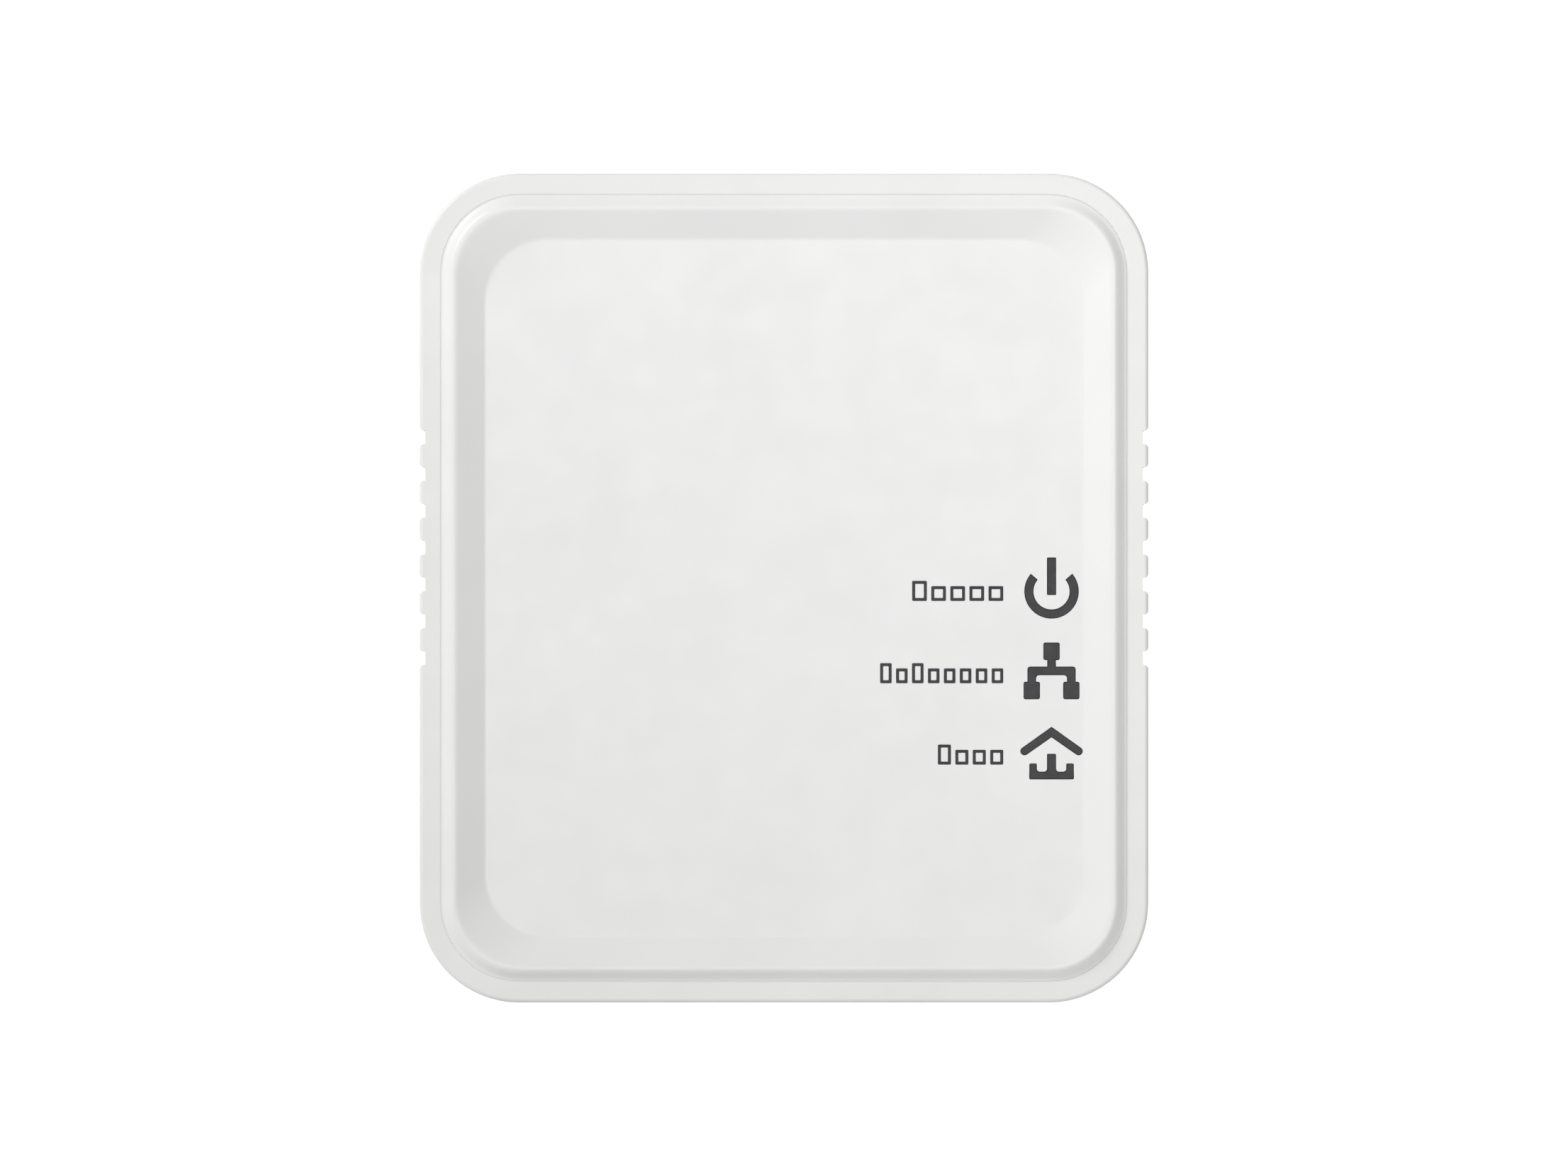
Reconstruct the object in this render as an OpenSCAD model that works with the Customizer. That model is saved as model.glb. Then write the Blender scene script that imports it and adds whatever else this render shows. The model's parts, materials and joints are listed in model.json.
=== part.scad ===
// Plug-in powerline network adapter with a two-pin mains plug, one network jack, a pair button,
// a reset switch behind a pinhole and three lit icons on a dished front panel.
//
// Every module below is drawn in the bench frame: the adapter lies on its plug, x to the right,
// y towards the top of the case and z from the plug's face towards the front panel.
// The last section turns each piece upright: pins along +Y, front panel facing -Y, top at +Z.
// The origin is the middle of the plug's face, between the two pins.

/* [Case] */
// Width of the case
case_w = 58; // [57:0.5:60]
// Height of the case
case_h = 66; // [65:0.5:68]
// Depth of the case from its back to its rim
case_d = 27; // [27:0.5:29]
// Radius of the case's four long corners
corner_r = 7.9; // [7.5:0.1:8.5]
// Thickness of the case's walls
wall = 2; // [1.8:0.1:2.2]

/* [Front panel] */
// Width of the flat rim round the panel
rim_w = 1.65; // [1.4:0.05:1.8]
// Gap between the rim and the panel
seam = 0.06; // [0.05:0.01:0.2]
// Height of the panel's ridge above the rim
ridge_h = 0.6; // [0.4:0.1:1.4]
// Depth of the dish below the ridge
dish_depth = 0.9; // [0.6:0.1:1]
// Distance of the dish's flat floor from the case's sides
dish_inset = 5.2; // [5:0.1:5.5]
// Corner radius of the dish's floor
dish_r = 5; // [4:0.25:6]

/* [Grip grooves] */
// Number of grooves in each side
groove_count = 7; // [5:1:7]
// Distance between grooves
groove_pitch = 2.93; // [2.8:0.01:3]
// Width of a groove
groove_w = 1.06; // [0.9:0.02:1.2]
// Depth of a groove
groove_depth = 0.45; // [0.3:0.05:0.6]
// Height of the middle groove above the case's centre
groove_offset = 3.2; // [0:0.1:4]

/* [Plug] */
// Height of the plug block that enters a recessed socket
plug_rise = 18; // [17.5:0.5:19]
// Width of the plug block
plug_w = 35.3; // [35:0.1:35.3]
// Height of the plug block across its flats
plug_h = 13.7; // [13.5:0.1:13.7]
// Distance between the pins
pin_spacing = 19; // [18.6:0.1:19]
// Diameter of a pin's bare end
pin_d = 4; // [3.95:0.01:4.05]
// Length of a pin from the plug's face
pin_l = 19; // [18.5:0.1:19.5]
// Length of a pin's insulating sleeve
sleeve_l = 10; // [10:0.1:11]
// Outer diameter of the sleeve
sleeve_d = 3.6; // [3.4:0.05:3.65]

/* [Port and buttons] */
// Sideways place of the network jack
jack_x = -9; // [-9.5:0.1:-8.5]
// Sideways place of the pair button
pair_x = 6.5; // [6:0.1:7]
// Length of the pair button's face
pair_w = 8; // [7:0.1:8.5]
// Width of the pair button's face
pair_h = 3.6; // [3:0.1:3.8]
// Travel of the pair button and its switch
pair_travel = 0.3; // [0.2:0.05:0.35]
// Sideways place of the reset pinhole
reset_x = 16; // [15.5:0.1:16.5]
// Diameter of the reset pinhole
reset_d = 1.8; // [1.5:0.1:2]

/* [Hidden] */
$fn = 48;
eps = 0.05;

// Levels along z
back_z = plug_rise;
floor_z = back_z + wall;
rim_z = back_z + case_d;
part_z = back_z + 13;
ledge_z = rim_z - 1.8;
ledge_t = 1.2;
crest_z = rim_z + ridge_h;
dish_z = crest_z - dish_depth;
pocket_z = ledge_z + 0.5;
board_t = 1.6;
main_z = rim_z - 5;
main_back_z = main_z - board_t;
power_z = floor_z + 2;
power_top_z = power_z + board_t;
parts_z = power_top_z + 0.1;
switch_z = main_back_z - 3.1;

// Case details
front_fillet = 0.3;
back_fillet = 2.5;
seam_bevel = 0.2;
tongue_t = wall - 1.05;
tongue_l = 1.5;
ledge_in = 3.6;
half_w = case_w / 2;
half_h = case_h / 2;
inner_w = case_w - 2 * wall;
inner_h = case_h - 2 * wall;

// Screw posts sit on the diagonals of the corners
post_out = 2.12;
post_x = half_w - corner_r + post_out;
post_y = half_h - corner_r + post_out;
posts = [for (x = [-1, 1], y = [-1, 1]) [x * post_x, y * post_y]];
post_r = 2.7;
post_bore_r = 1.3;
cup_r = 3.6;
cup_bore_r = 2.3;
case_screw_r = 1.25;
case_screw_l = 11;
screw_seat_z = back_z + 4;
post_end_z = screw_seat_z + 1.6;

// Small board screws
lug_y = 12;
lug_x = half_w - 5;
power_screws = [[-14.2, 26.6], [23.8, -10]];
small_screw_r = 0.9;
small_head = [1.9, 1.4];
main_screw_l = 3.9;
power_screw_l = 4.3;
boss_r = 2.2;
board_hole_r = 1.1;
lead_hole_r = 0.5;

// Icons, from the case's centre
icon_x = 21.3;
icon_ys = [0, -6.6, -13.15];
icon_gap = 0.04;

// Vents and rating label
vent_pitch = 3.2;
vent_w = 1.3;
label_y = -19.5;
label_w = 34;
label_h = 13.6;
label_r = 1;
label_recess = 0.3;

// Network jack
jack_w = 16;
jack_top_z = main_back_z - eps;
jack_bottom_z = jack_top_z - 13.25;
jack_mouth_y = -half_h + 0.4;
jack_l = 18;
cavity_z = jack_bottom_z + 1.8;
cavity_l = 15;
sheet_metal = 0.25;

// Places of the parts on the power board, and of the leads that go through it
pin_x = pin_spacing / 2;
wire_y = -2;
fuse_at = [-20.5, -6.5];
varistor_at = [-11.5, -7.5];
x_cap_at = [1.5, -7.6];
choke_at = [16, -6.5];
bridge_at = [-20, 4.5];
bulk_at = [[-10.5, 4.5], [-1.5, 4.5]];
inductor_at = [6.8, 5];
transformer_at = [18, 8];
controller_at = [-6, 13.5];
y_cap_at = [4.5, 13];
opto_at = [3.5, 18.3];
coupler_at = [-19.5, 13];
coupling_cap_at = [-19.5, 21];
diode_at = [13.5, 19.3];
output_at = [[-6.5, 22.8], [3.2, 25.2]];
header_at = [13.5, 27];
header_pitch = 2;

function pair(at, x = 0, y = 0) = [at - [x, y] / 2, at + [x, y] / 2];
function four(at, x, y) = [for (i = [-1, 1], j = [-1, 1]) at + [i * x, j * y] / 2];
function row(at, n, pitch) = [for (i = [0:n - 1]) at + [(i - (n - 1) / 2) * pitch, 0]];

lead_places = concat(
  pair(fuse_at, x = 5), pair(varistor_at, x = 5), pair(x_cap_at, x = 10), four(choke_at, 4, 4),
  four(bridge_at, 5, 5), pair(bulk_at[0], x = 3.5), pair(bulk_at[1], x = 3.5), pair(inductor_at, x = 3),
  four(transformer_at, 9, 9.5), four(transformer_at, 3, 9.5), row(controller_at + [0, 3.4], 4, 2.54),
  row(controller_at - [0, 3.4], 4, 2.54), pair(y_cap_at, x = 5), four(opto_at, 7.62, 2.54),
  four(coupler_at, 7, 7), pair(coupling_cap_at, x = 7.5), pair(output_at[0], x = 3.5),
  pair(output_at[1], x = 3.5)
);
header_places = row(header_at, 5, header_pitch);

// ---------- shared shapes ----------

// Sweeps a section once round a rounded rectangle. The section's x is the distance in from the
// outline and its y is z.
module ring_sweep(w, h, r) {
  for (i = [0:3]) rotate([0, 0, 90 * i]) {
    run = i % 2 == 0 ? h : w;
    half = i % 2 == 0 ? w / 2 : h / 2;
    rotate([90, 0, 0]) linear_extrude(run - 2 * r, center = true)
      translate([half, 0]) mirror([1, 0]) children();
    translate([half - r, run / 2 - r, 0]) rotate_extrude(angle = 90)
      translate([r, 0]) mirror([1, 0]) children();
  }
}

// Everything outside a quarter circle, for rounding the section's corner at the origin
module round_off(r) {
  difference() {
    translate([-1, -1]) square(r + 1);
    translate([r, r]) circle(r);
  }
}

module rounded_square(w, h, r) {
  square([w - 2 * r, h], center = true);
  square([w, h - 2 * r], center = true);
  for (x = [-1, 1], y = [-1, 1]) translate([x * (w / 2 - r), y * (h / 2 - r)]) circle(r);
}

module rounded_plate(w, h, r, t) {
  linear_extrude(t) rounded_square(w, h, r);
}

// A slot with round ends, long along x
module slot_shape(l, w) {
  square([l - w, w], center = true);
  for (x = [-1, 1]) translate([x * (l - w) / 2, 0]) circle(w / 2);
}

module box(size, at) {
  translate([at[0] - size[0] / 2, at[1] - size[1] / 2, at[2]]) cube(size);
}

// A shape pushed through the bottom wall at (x, z)
module through_bottom(x, z) {
  translate([x, -half_h + wall + 1, z]) rotate([90, 0, 0]) linear_extrude(wall + 2) children();
}

// The outline of a rounded rectangle as points, with the same number of points at any size
outline_steps = 16;
function outline(inset, r) = [
  for (q = [0:3], i = [0:outline_steps])
    let (a = 90 * q + 90 * i / outline_steps,
         sx = q == 0 || q == 3 ? 1 : -1,
         sy = q < 2 ? 1 : -1)
      [sx * (half_w - inset - r) + r * cos(a), sy * (half_h - inset - r) + r * sin(a)]
];

// Skins a stack of [inset, z, corner radius] outlines into one closed solid
module loft(stack) {
  n = 4 * (outline_steps + 1);
  m = len(stack);
  points = [for (s = stack) for (p = outline(s[0], s[2])) [p[0], p[1], s[1]]];
  sides = [
    for (k = [0:m - 2], i = [0:n - 1])
      let (j = (i + 1) % n) [k * n + i, (k + 1) * n + i, (k + 1) * n + j, k * n + j]
  ];
  polyhedron(points, concat([[for (i = [0:n - 1]) i]], sides, [[for (i = [n - 1:-1:0]) (m - 1) * n + i]]));
}

// A cross-head screw pointing along +z with its head below z = 0
module screw(head_r, head_h, shank_r, length) {
  slot_l = 1.1 * head_r;
  slot_w = 0.28 * head_r;
  slot_depth = 0.6 * head_h;
  tip_r = 0.25;
  difference() {
    translate([0, 0, -head_h]) cylinder(r = head_r, h = head_h);
    for (s = [[slot_l, slot_w], [slot_w, slot_l]]) box([s[0], s[1], slot_depth + 1], [0, 0, -head_h - 1]);
  }
  translate([0, 0, -eps]) cylinder(r = shank_r, h = length - shank_r + eps);
  translate([0, 0, length - shank_r]) cylinder(r1 = shank_r, r2 = tip_r, h = shank_r);
}

// A round can with a crimped foot and a bevelled rim, as an electrolytic capacitor has
module can(r, h) {
  crimp_r = 0.35;
  crimp_z = 1.9;
  bevel = 0.8;
  rim_t = 1.2;
  rim_l = 0.3;
  rotate_extrude() difference() {
    square([r, h]);
    translate([r, crimp_z]) circle(crimp_r);
    translate([r, h]) rotate(45) square(bevel, center = true);
    translate([-1, h - rim_l]) square([r - rim_t + 1, 1]);
  }
}

// A disc with a round rim, its axis along z
module pill(r, t) {
  rotate_extrude() {
    square([r - t / 2, t]);
    translate([r - t / 2, t / 2]) circle(t / 2);
  }
}

// A dipped disc standing on its edge, with a foot over its two leads
module standing_disc(at, r, t) {
  foot_w = 6.2;
  lift = 0.6;
  translate([at[0], at[1] + t / 2, parts_z + r + lift]) rotate([90, 0, 0]) pill(r, t);
  box([foot_w, 0.6 * t, r], [at[0], at[1], parts_z]);
}

// A moulded chip with bent legs along its two long sides, standing on z = 0
module legged_chip(size, lift, legs, pitch, reach) {
  leg_w = 0.36 * pitch;
  leg_t = 0.22;
  root = 0.4;
  foot_l = 0.7;
  side_y = size[1] / 2;
  mid_z = lift + size[2] / 2;
  box(size, [0, 0, lift]);
  for (p = row([0, 0], legs, pitch), side = [-1, 1]) {
    box([leg_w, reach + root, leg_t], [p[0], side * (side_y + (reach - root) / 2), mid_z]);
    box([leg_w, leg_t, mid_z + leg_t / 2], [p[0], side * (side_y + reach - leg_t / 2), 0]);
    box([leg_w, foot_l, leg_t], [p[0], side * (side_y + reach + foot_l / 2 - leg_t), 0]);
  }
}

// ---------- case ----------

module front_section() {
  tongue_z = part_z - tongue_l;
  difference() {
    polygon([
      [0, part_z], [0, rim_z], [rim_w, rim_z], [rim_w, ledge_z], [ledge_in, ledge_z],
      [ledge_in, ledge_z - ledge_t], [wall, ledge_z - ledge_t], [wall, tongue_z],
      [wall - tongue_t, tongue_z], [wall - tongue_t, part_z]
    ]);
    translate([0, rim_z]) mirror([0, 1]) round_off(front_fillet);
    translate([0, part_z]) rotate(45) square(seam_bevel, center = true);
  }
}

module rear_section() {
  rebate_in = wall - tongue_t - 0.1;
  rebate_z = part_z - tongue_l - 0.2;
  back_in = back_fillet + 2;
  difference() {
    polygon([
      [0, part_z], [0, back_z], [back_in, back_z], [back_in, floor_z], [wall, floor_z],
      [wall, rebate_z], [rebate_in, rebate_z], [rebate_in, part_z]
    ]);
    translate([0, back_z]) round_off(back_fillet);
    translate([0, part_z]) rotate(45) square(seam_bevel, center = true);
  }
}

function groove_y(i) = groove_offset + (i - (groove_count - 1) / 2) * groove_pitch;

// One groove's section, cut into a side whose face is y = 0 with the case below
module groove_section() {
  shoulder = 0.35;
  translate([-groove_w / 2, -groove_depth]) square([groove_w, groove_depth + 1]);
  for (s = [0, 1]) mirror([s, 0]) translate([groove_w / 2, 0]) mirror([0, 1]) round_off(shoulder);
}

module grip_grooves() {
  for (side = [0, 180], i = [0:groove_count - 1])
    rotate([0, 0, side]) translate([half_w, (side == 0 ? 1 : -1) * groove_y(i), back_z - 1])
      rotate([0, 0, -90]) linear_extrude(case_d + 2) groove_section();
}

// Vent slots through the side walls, inside the grooves, from z0 to z1
module side_vents(z0, z1) {
  vent_w = groove_w - 0.16; // narrower than its groove
  for (side = [-1, 1], i = [0:groove_count - 1])
    box([2 * wall + 0.4, vent_w, z1 - z0], [side * half_w, groove_y(i), z0]);
}

// Vent slots through the top wall
module top_vents(z0, z1) {
  for (p = row([0, 0], 9, vent_pitch))
    translate([p[0], half_h - wall - 0.5, (z0 + z1) / 2]) rotate([-90, 0, 0])
      rotate([0, 0, 90]) linear_extrude(wall + 1) slot_shape(z1 - z0, vent_w);
}

module jack_opening() {
  clearance = 0.15;
  box([jack_w + 2 * clearance, wall + 3, jack_top_z - jack_bottom_z + 2 * clearance],
      [jack_x, -half_h + wall / 2, jack_bottom_z - clearance]);
}

// A screw post with a rib to the case's corner
module corner_post(p) {
  rib = [4, 1.6];
  translate([p[0], p[1], post_end_z + eps]) cylinder(r = post_r, h = ledge_z - 0.6 - post_end_z);
  translate([p[0], p[1], part_z + 0.4]) rotate([0, 0, atan2(sign(p[1]), sign(p[0]))])
    translate([0, -rib[1] / 2, 0]) cube([rib[0], rib[1], ledge_z - 0.8 - part_z]);
}

module front_shell() {
  button_gap = 0.15;
  screw_room = 0.4;
  vent_low = part_z + 2.5;
  vent_high = ledge_z - ledge_t - 1;
  color("white") difference() {
    union() {
      ring_sweep(case_w, case_h, corner_r) front_section();
      for (p = posts) corner_post(p);
      for (x = [-1, 1]) translate([x * lug_x, lug_y, main_z])
        cylinder(r = boss_r, h = ledge_z - main_z - 0.2);
    }
    for (p = posts) translate([p[0], p[1], screw_seat_z])
      cylinder(r = post_bore_r, h = case_screw_l + screw_room);
    for (x = [-1, 1]) translate([x * lug_x, lug_y, main_back_z])
      cylinder(r = small_screw_r + eps, h = main_screw_l + screw_room);
    grip_grooves();
    side_vents(vent_low, vent_high);
    top_vents(vent_low, vent_high);
    jack_opening();
    through_bottom(pair_x, switch_z) slot_shape(pair_w + 2 * button_gap, pair_h + 2 * button_gap);
    through_bottom(reset_x, switch_z) circle(d = reset_d);
  }
}

module plug_outline(grow = 0) {
  corner = 1.2;
  flat_w = 26.1;
  end_h = 5.5;
  offset(r = corner + grow) offset(delta = -corner) polygon([
    for (s = [[1, 1], [-1, 1], [-1, -1], [1, -1]])
      for (k = s[0] * s[1] > 0 ? [0, 1] : [1, 0])
        k == 0 ? [s[0] * plug_w / 2, s[1] * end_h / 2] : [s[0] * flat_w / 2, s[1] * plug_h / 2]
  ]);
}

plug_skin = 1.8;
module plug_block() {
  edge = 0.7;
  difference() {
    hull() {
      linear_extrude(eps) plug_outline(-edge);
      translate([0, 0, edge]) linear_extrude(back_z - edge + 0.5) plug_outline();
    }
    translate([0, 0, wall]) linear_extrude(back_z) plug_outline(-plug_skin);
  }
}

// The flat back wall, open into the plug block
module back_plate() {
  plate_in = back_fillet + 1.9;
  difference() {
    translate([0, 0, back_z])
      rounded_plate(case_w - 2 * plate_in, case_h - 2 * plate_in, corner_r - plate_in, wall);
    translate([0, 0, back_z - 1]) linear_extrude(wall + 2) plug_outline(-plug_skin);
  }
}

// A boss on the inside of the back wall, up to z
module back_boss(p, r, z) {
  root = 0.5;
  translate([p[0], p[1], floor_z - root]) cylinder(r = r, h = z - floor_z + root);
}

module rear_shell() {
  vent_low = floor_z + 2.5;
  vent_high = part_z - tongue_l - 1.2;
  screw_skin = 0.7;
  label_gap = 0.2;
  back_vent = [9, 1.4];
  back_vent_y = 19;
  color("white") difference() {
    union() {
      ring_sweep(case_w, case_h, corner_r) rear_section();
      back_plate();
      plug_block();
      for (p = posts) back_boss(p, cup_r, post_end_z);
      for (p = power_screws) back_boss(p, boss_r, power_z);
    }
    for (p = posts) translate([p[0], p[1], back_z - 1]) {
      cylinder(r = cup_bore_r, h = screw_seat_z - back_z + 1);
      cylinder(r = case_screw_r + 0.2, h = case_d);
    }
    for (p = power_screws) translate([p[0], p[1], back_z + screw_skin])
      cylinder(r = small_screw_r + eps, h = case_d);
    for (x = [-1, 1]) translate([x * pin_x, 0, -1]) cylinder(d = sleeve_d + 0.4, h = wall + 2);
    translate([0, label_y, back_z - 1])
      rounded_plate(label_w + 2 * label_gap, label_h + 2 * label_gap, label_r + label_gap, 1 + label_recess);
    for (p = row([0, back_vent_y], 8, vent_pitch)) translate([p[0], p[1], back_z - 1])
      linear_extrude(wall + 2) rotate(90) slot_shape(back_vent[0], back_vent[1]);
    grip_grooves();
    side_vents(vent_low, vent_high);
    top_vents(vent_low, vent_high);
    jack_opening();
  }
}

module rating_label() {
  label_t = 0.2;
  color("whitesmoke") translate([0, label_y, back_z + label_recess - label_t])
    rounded_plate(label_w, label_h, label_r, label_t);
}

module case_screws() {
  head = [2.1, 1.7];
  color("silver") for (p = posts) translate([p[0], p[1], screw_seat_z])
    screw(head[0], head[1], case_screw_r, case_screw_l);
}

// ---------- front panel, icons and lights ----------

// The panel's section from its back edge, over the ridge and down to the dish's floor
foot_in = rim_w + seam;
flank_w = 1;
crest_in = foot_in + flank_w;
crest_r = corner_r - crest_in;
panel_stack = concat(
  [[foot_in, ledge_z, corner_r - foot_in]],
  [
    for (step = [0:8])
      let (run = flank_w * step / 8, rise = ridge_h * (1 - cos(180 * step / 8)) / 2)
        [foot_in + run, rim_z + rise, corner_r - foot_in - run]
  ],
  [
    [crest_in + 0.2, crest_z - 0.02, crest_r],
    [crest_in + 0.4, crest_z - 0.09, crest_r],
    [dish_inset - 0.15, dish_z + 0.06, dish_r],
    [dish_inset, dish_z + 0.015, dish_r],
    [dish_inset + 0.15, dish_z, dish_r]
  ]
);

// A hook on the panel's back that latches behind the shell's ledge, with its outside at y = 0
module snap_hook() {
  leg_x = -ledge_in - 0.2;
  leg_t = 1;
  barb = 0.6;
  latch_z = ledge_z - ledge_t - 0.1;
  hook_w = 6;
  rotate([90, 0, 0]) linear_extrude(hook_w, center = true) polygon([
    [leg_x, pocket_z], [leg_x, latch_z], [leg_x + barb, latch_z], [leg_x - eps, latch_z - leg_t],
    [leg_x - leg_t, latch_z - leg_t], [leg_x - leg_t, pocket_z]
  ]);
}

module front_panel() {
  pocket_in = ledge_in + 1.3;
  pocket = [case_w - 2 * pocket_in, case_h - 2 * pocket_in, corner_r - pocket_in];
  side_hook_y = 20;
  end_hook_x = 10;
  color("white") {
    difference() {
      loft(panel_stack);
      translate([0, 0, ledge_z - 1]) rounded_plate(pocket[0], pocket[1], pocket[2], pocket_z - ledge_z + 1);
      translate([0, 0, ledge_z]) linear_extrude(4) for (i = [0:2]) icon_shape(i);
    }
    for (turn = [0, 180], y = [-1, 1])
      rotate([0, 0, turn]) translate([half_w, y * side_hook_y, 0]) snap_hook();
    for (turn = [90, 270], x = [-1, 1])
      rotate([0, 0, turn]) translate([half_h, x * end_hook_x, 0]) snap_hook();
  }
}

// The icons are drawn round their own centres.

// A ring open at the top, with an upright bar in the gap
module power_icon() {
  ring_r = 1.805;
  ring_y = -0.27;
  stroke = 0.73;
  half_gap = 49.6;
  bar_low = -0.56;
  bar_l = 2.99;
  reach = 8;
  gap_x = reach * sin(half_gap);
  gap_y = reach * cos(half_gap);
  translate([0, ring_y]) difference() {
    circle(ring_r + stroke / 2);
    circle(ring_r - stroke / 2);
    polygon([[0, 0], [gap_x, gap_y], [-gap_x, gap_y]]);
  }
  translate([0, bar_low + bar_l / 2]) rounded_square(stroke, bar_l, 0.08);
}

// A box that narrows through sloping shoulders to a stem of the given width, above z = 0 of its shoulders
module stemmed_box(w, h, stem, shoulder) {
  translate([0, h / 2]) rounded_square(w, h, 0.16);
  polygon([
    [-w / 2, shoulder], [-w / 2, h / 2], [w / 2, h / 2], [w / 2, shoulder],
    [stem / 2, 0], [stem / 2, -shoulder], [-stem / 2, -shoulder], [-stem / 2, 0]
  ]);
}

// One box above two, joined as a tree
module network_icon() {
  box_w = 1.3;
  box_h = 1.4;
  stem = 0.69;
  shoulder = 0.32;
  bar_w = 3.84;
  bar_r = 0.22;
  leg_x = (bar_w - stem) / 2;
  top_y = 0.86;
  low_y = -0.86;
  fillet = 0.25;
  translate([0, top_y]) stemmed_box(box_w, box_h, stem, shoulder);
  translate([-stem / 2, 0]) square([stem, top_y]);
  rounded_square(bar_w, stem, bar_r);
  for (s = [0, 1]) mirror([s, 0]) {
    translate([leg_x - stem / 2, low_y]) square([stem, -low_y]);
    translate([leg_x, low_y]) mirror([0, 1]) stemmed_box(box_w, box_h, stem, shoulder);
    translate([leg_x - stem / 2, -stem / 2]) mirror([1, 1]) corner_fillet(fillet);
  }
}

// The small filling of an inside corner at the origin, whose sides run along +x and +y
module corner_fillet(r) {
  difference() {
    translate([-eps, -eps]) square(r + eps);
    translate([r, r]) circle(r);
  }
}

// A pitched roof over a three-pronged base
module home_icon() {
  stroke = 0.66;
  apex_y = 2.1;
  end = [2.15, 0.16];
  slope = atan2(apex_y - stroke / 2 - end[1], end[0]) + 1.5;
  base = [3.56, 0.62];
  base_y = -2.09;
  prongs = [[-1.47, 0.6, 1.27], [0, 0.72, 2.04], [1.47, 0.6, 1.27]];
  fillet = 0.24;
  for (s = [0, 1]) mirror([s, 0]) {
    translate(end) circle(stroke / 2);
    polygon([
      [0, apex_y], [0, apex_y - stroke / cos(slope)],
      end - stroke / 2 * [sin(slope), cos(slope)], end + stroke / 2 * [sin(slope), cos(slope)]
    ]);
  }
  translate([0, base_y + base[1] / 2]) rounded_square(base[0], base[1], 0.12);
  for (p = prongs) translate([p[0], base_y + p[2] / 2]) rounded_square(p[1], p[2], 0.1);
  for (s = [0, 1]) mirror([s, 0]) translate([0, base_y + base[1]]) {
    translate([prongs[1][1] / 2, 0]) corner_fillet(fillet);
    translate([prongs[2][0] - prongs[2][1] / 2, 0]) mirror([1, 0]) corner_fillet(fillet);
  }
}

module icon_shape(i) {
  translate([icon_x, icon_ys[i]])
    if (i == 0) power_icon();
    else if (i == 1) network_icon();
    else home_icon();
}

lens_base = [5.2, 5.6, 0.8];
module icon_lens(i) {
  color("dimgray") {
    box(lens_base, [icon_x, icon_ys[i], pocket_z - lens_base[2]]);
    translate([0, 0, pocket_z - eps]) linear_extrude(dish_z - pocket_z)
      offset(delta = -icon_gap) icon_shape(i);
  }
}

// Walls that keep each icon's light to itself
module light_baffle() {
  cell = [4.4, 4.8];
  baffle_w = 5.6;
  low = icon_ys[2] - 3;
  high = icon_ys[0] + 3;
  color("black") difference() {
    box([baffle_w, high - low, pocket_z - lens_base[2] - main_z - eps], [icon_x, (high + low) / 2, main_z]);
    for (y = icon_ys) box([cell[0], cell[1], 10], [icon_x, y, main_z - 1]);
  }
}

module led(i) {
  foot = [2, 1.25, 0.5];
  dome = [1.2, 1.25, 0.3];
  color("lightyellow") translate([icon_x, icon_ys[i], main_z]) {
    box(foot, [0, 0, 0]);
    box(dome, [0, 0, foot[2]]);
  }
}

// ---------- switches and button ----------

// The button's cap fills its slot in the bottom wall, a flange keeps it in, and a post reaches the switch
flange_y = -half_h + wall + eps;
flange_t = 1;
post_l = 1;

// A shape at the pair button's place, from y back towards the bottom wall
module at_button(y, t) {
  translate([pair_x, y, switch_z]) rotate([90, 0, 0]) linear_extrude(t) children();
}

module pair_button() {
  recess = 0.15;
  color("white") {
    at_button(flange_y + eps, wall + 2 * eps - recess) slot_shape(pair_w, pair_h);
    at_button(flange_y + flange_t, flange_t) slot_shape(pair_w + 2, pair_h + 1.6);
    at_button(flange_y + flange_t + post_l, post_l + eps) circle(1.6);
  }
}

// A right-angle push switch: a body on the main board's back with a well for its stem, and two legs
switch_y = -26.5;
module switch_body(x, size, stem_r, well) {
  leg_t = 0.3;
  leg_out = 0.1;
  difference() {
    box(size, [x, switch_y + size[1] / 2, switch_z - size[2] / 2]);
    translate([x, switch_y + well, switch_z]) rotate([90, 0, 0]) cylinder(r = stem_r + eps, h = well + 1);
  }
  for (s = [-1, 1]) box([leg_t, size[1] - 1, main_back_z - switch_z],
                        [x + s * (size[0] / 2 + leg_out), switch_y + size[1] / 2, switch_z]);
}

// A stem from its tip's y into its well, leaving room for its travel at the bottom
module switch_stem(x, r, tip_y, well, travel) {
  root_y = switch_y + well - travel - 0.1;
  translate([x, root_y, switch_z]) rotate([90, 0, 0]) cylinder(r = r, h = root_y - tip_y);
}

pair_stem_r = 1.75;
pair_well = 1.2;
reset_stem_r = 0.95;
reset_well = 0.9;
reset_travel = 0.25;

module pair_switch() {
  color("dimgray") switch_body(pair_x, [6, 3.8, 6], pair_stem_r, pair_well);
}

module pair_switch_stem() {
  touch_gap = 0.02;
  post_end = flange_y + flange_t + post_l;
  color("black") switch_stem(pair_x, pair_stem_r, post_end + touch_gap, pair_well, pair_travel);
}

module reset_switch() {
  color("dimgray") switch_body(reset_x, [4.5, 3.2, 4.4], reset_stem_r, reset_well);
}

module reset_switch_stem() {
  stem_out = 1.9;
  color("black") switch_stem(reset_x, reset_stem_r, switch_y - stem_out, reset_well, reset_travel);
}

// ---------- main board ----------

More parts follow.
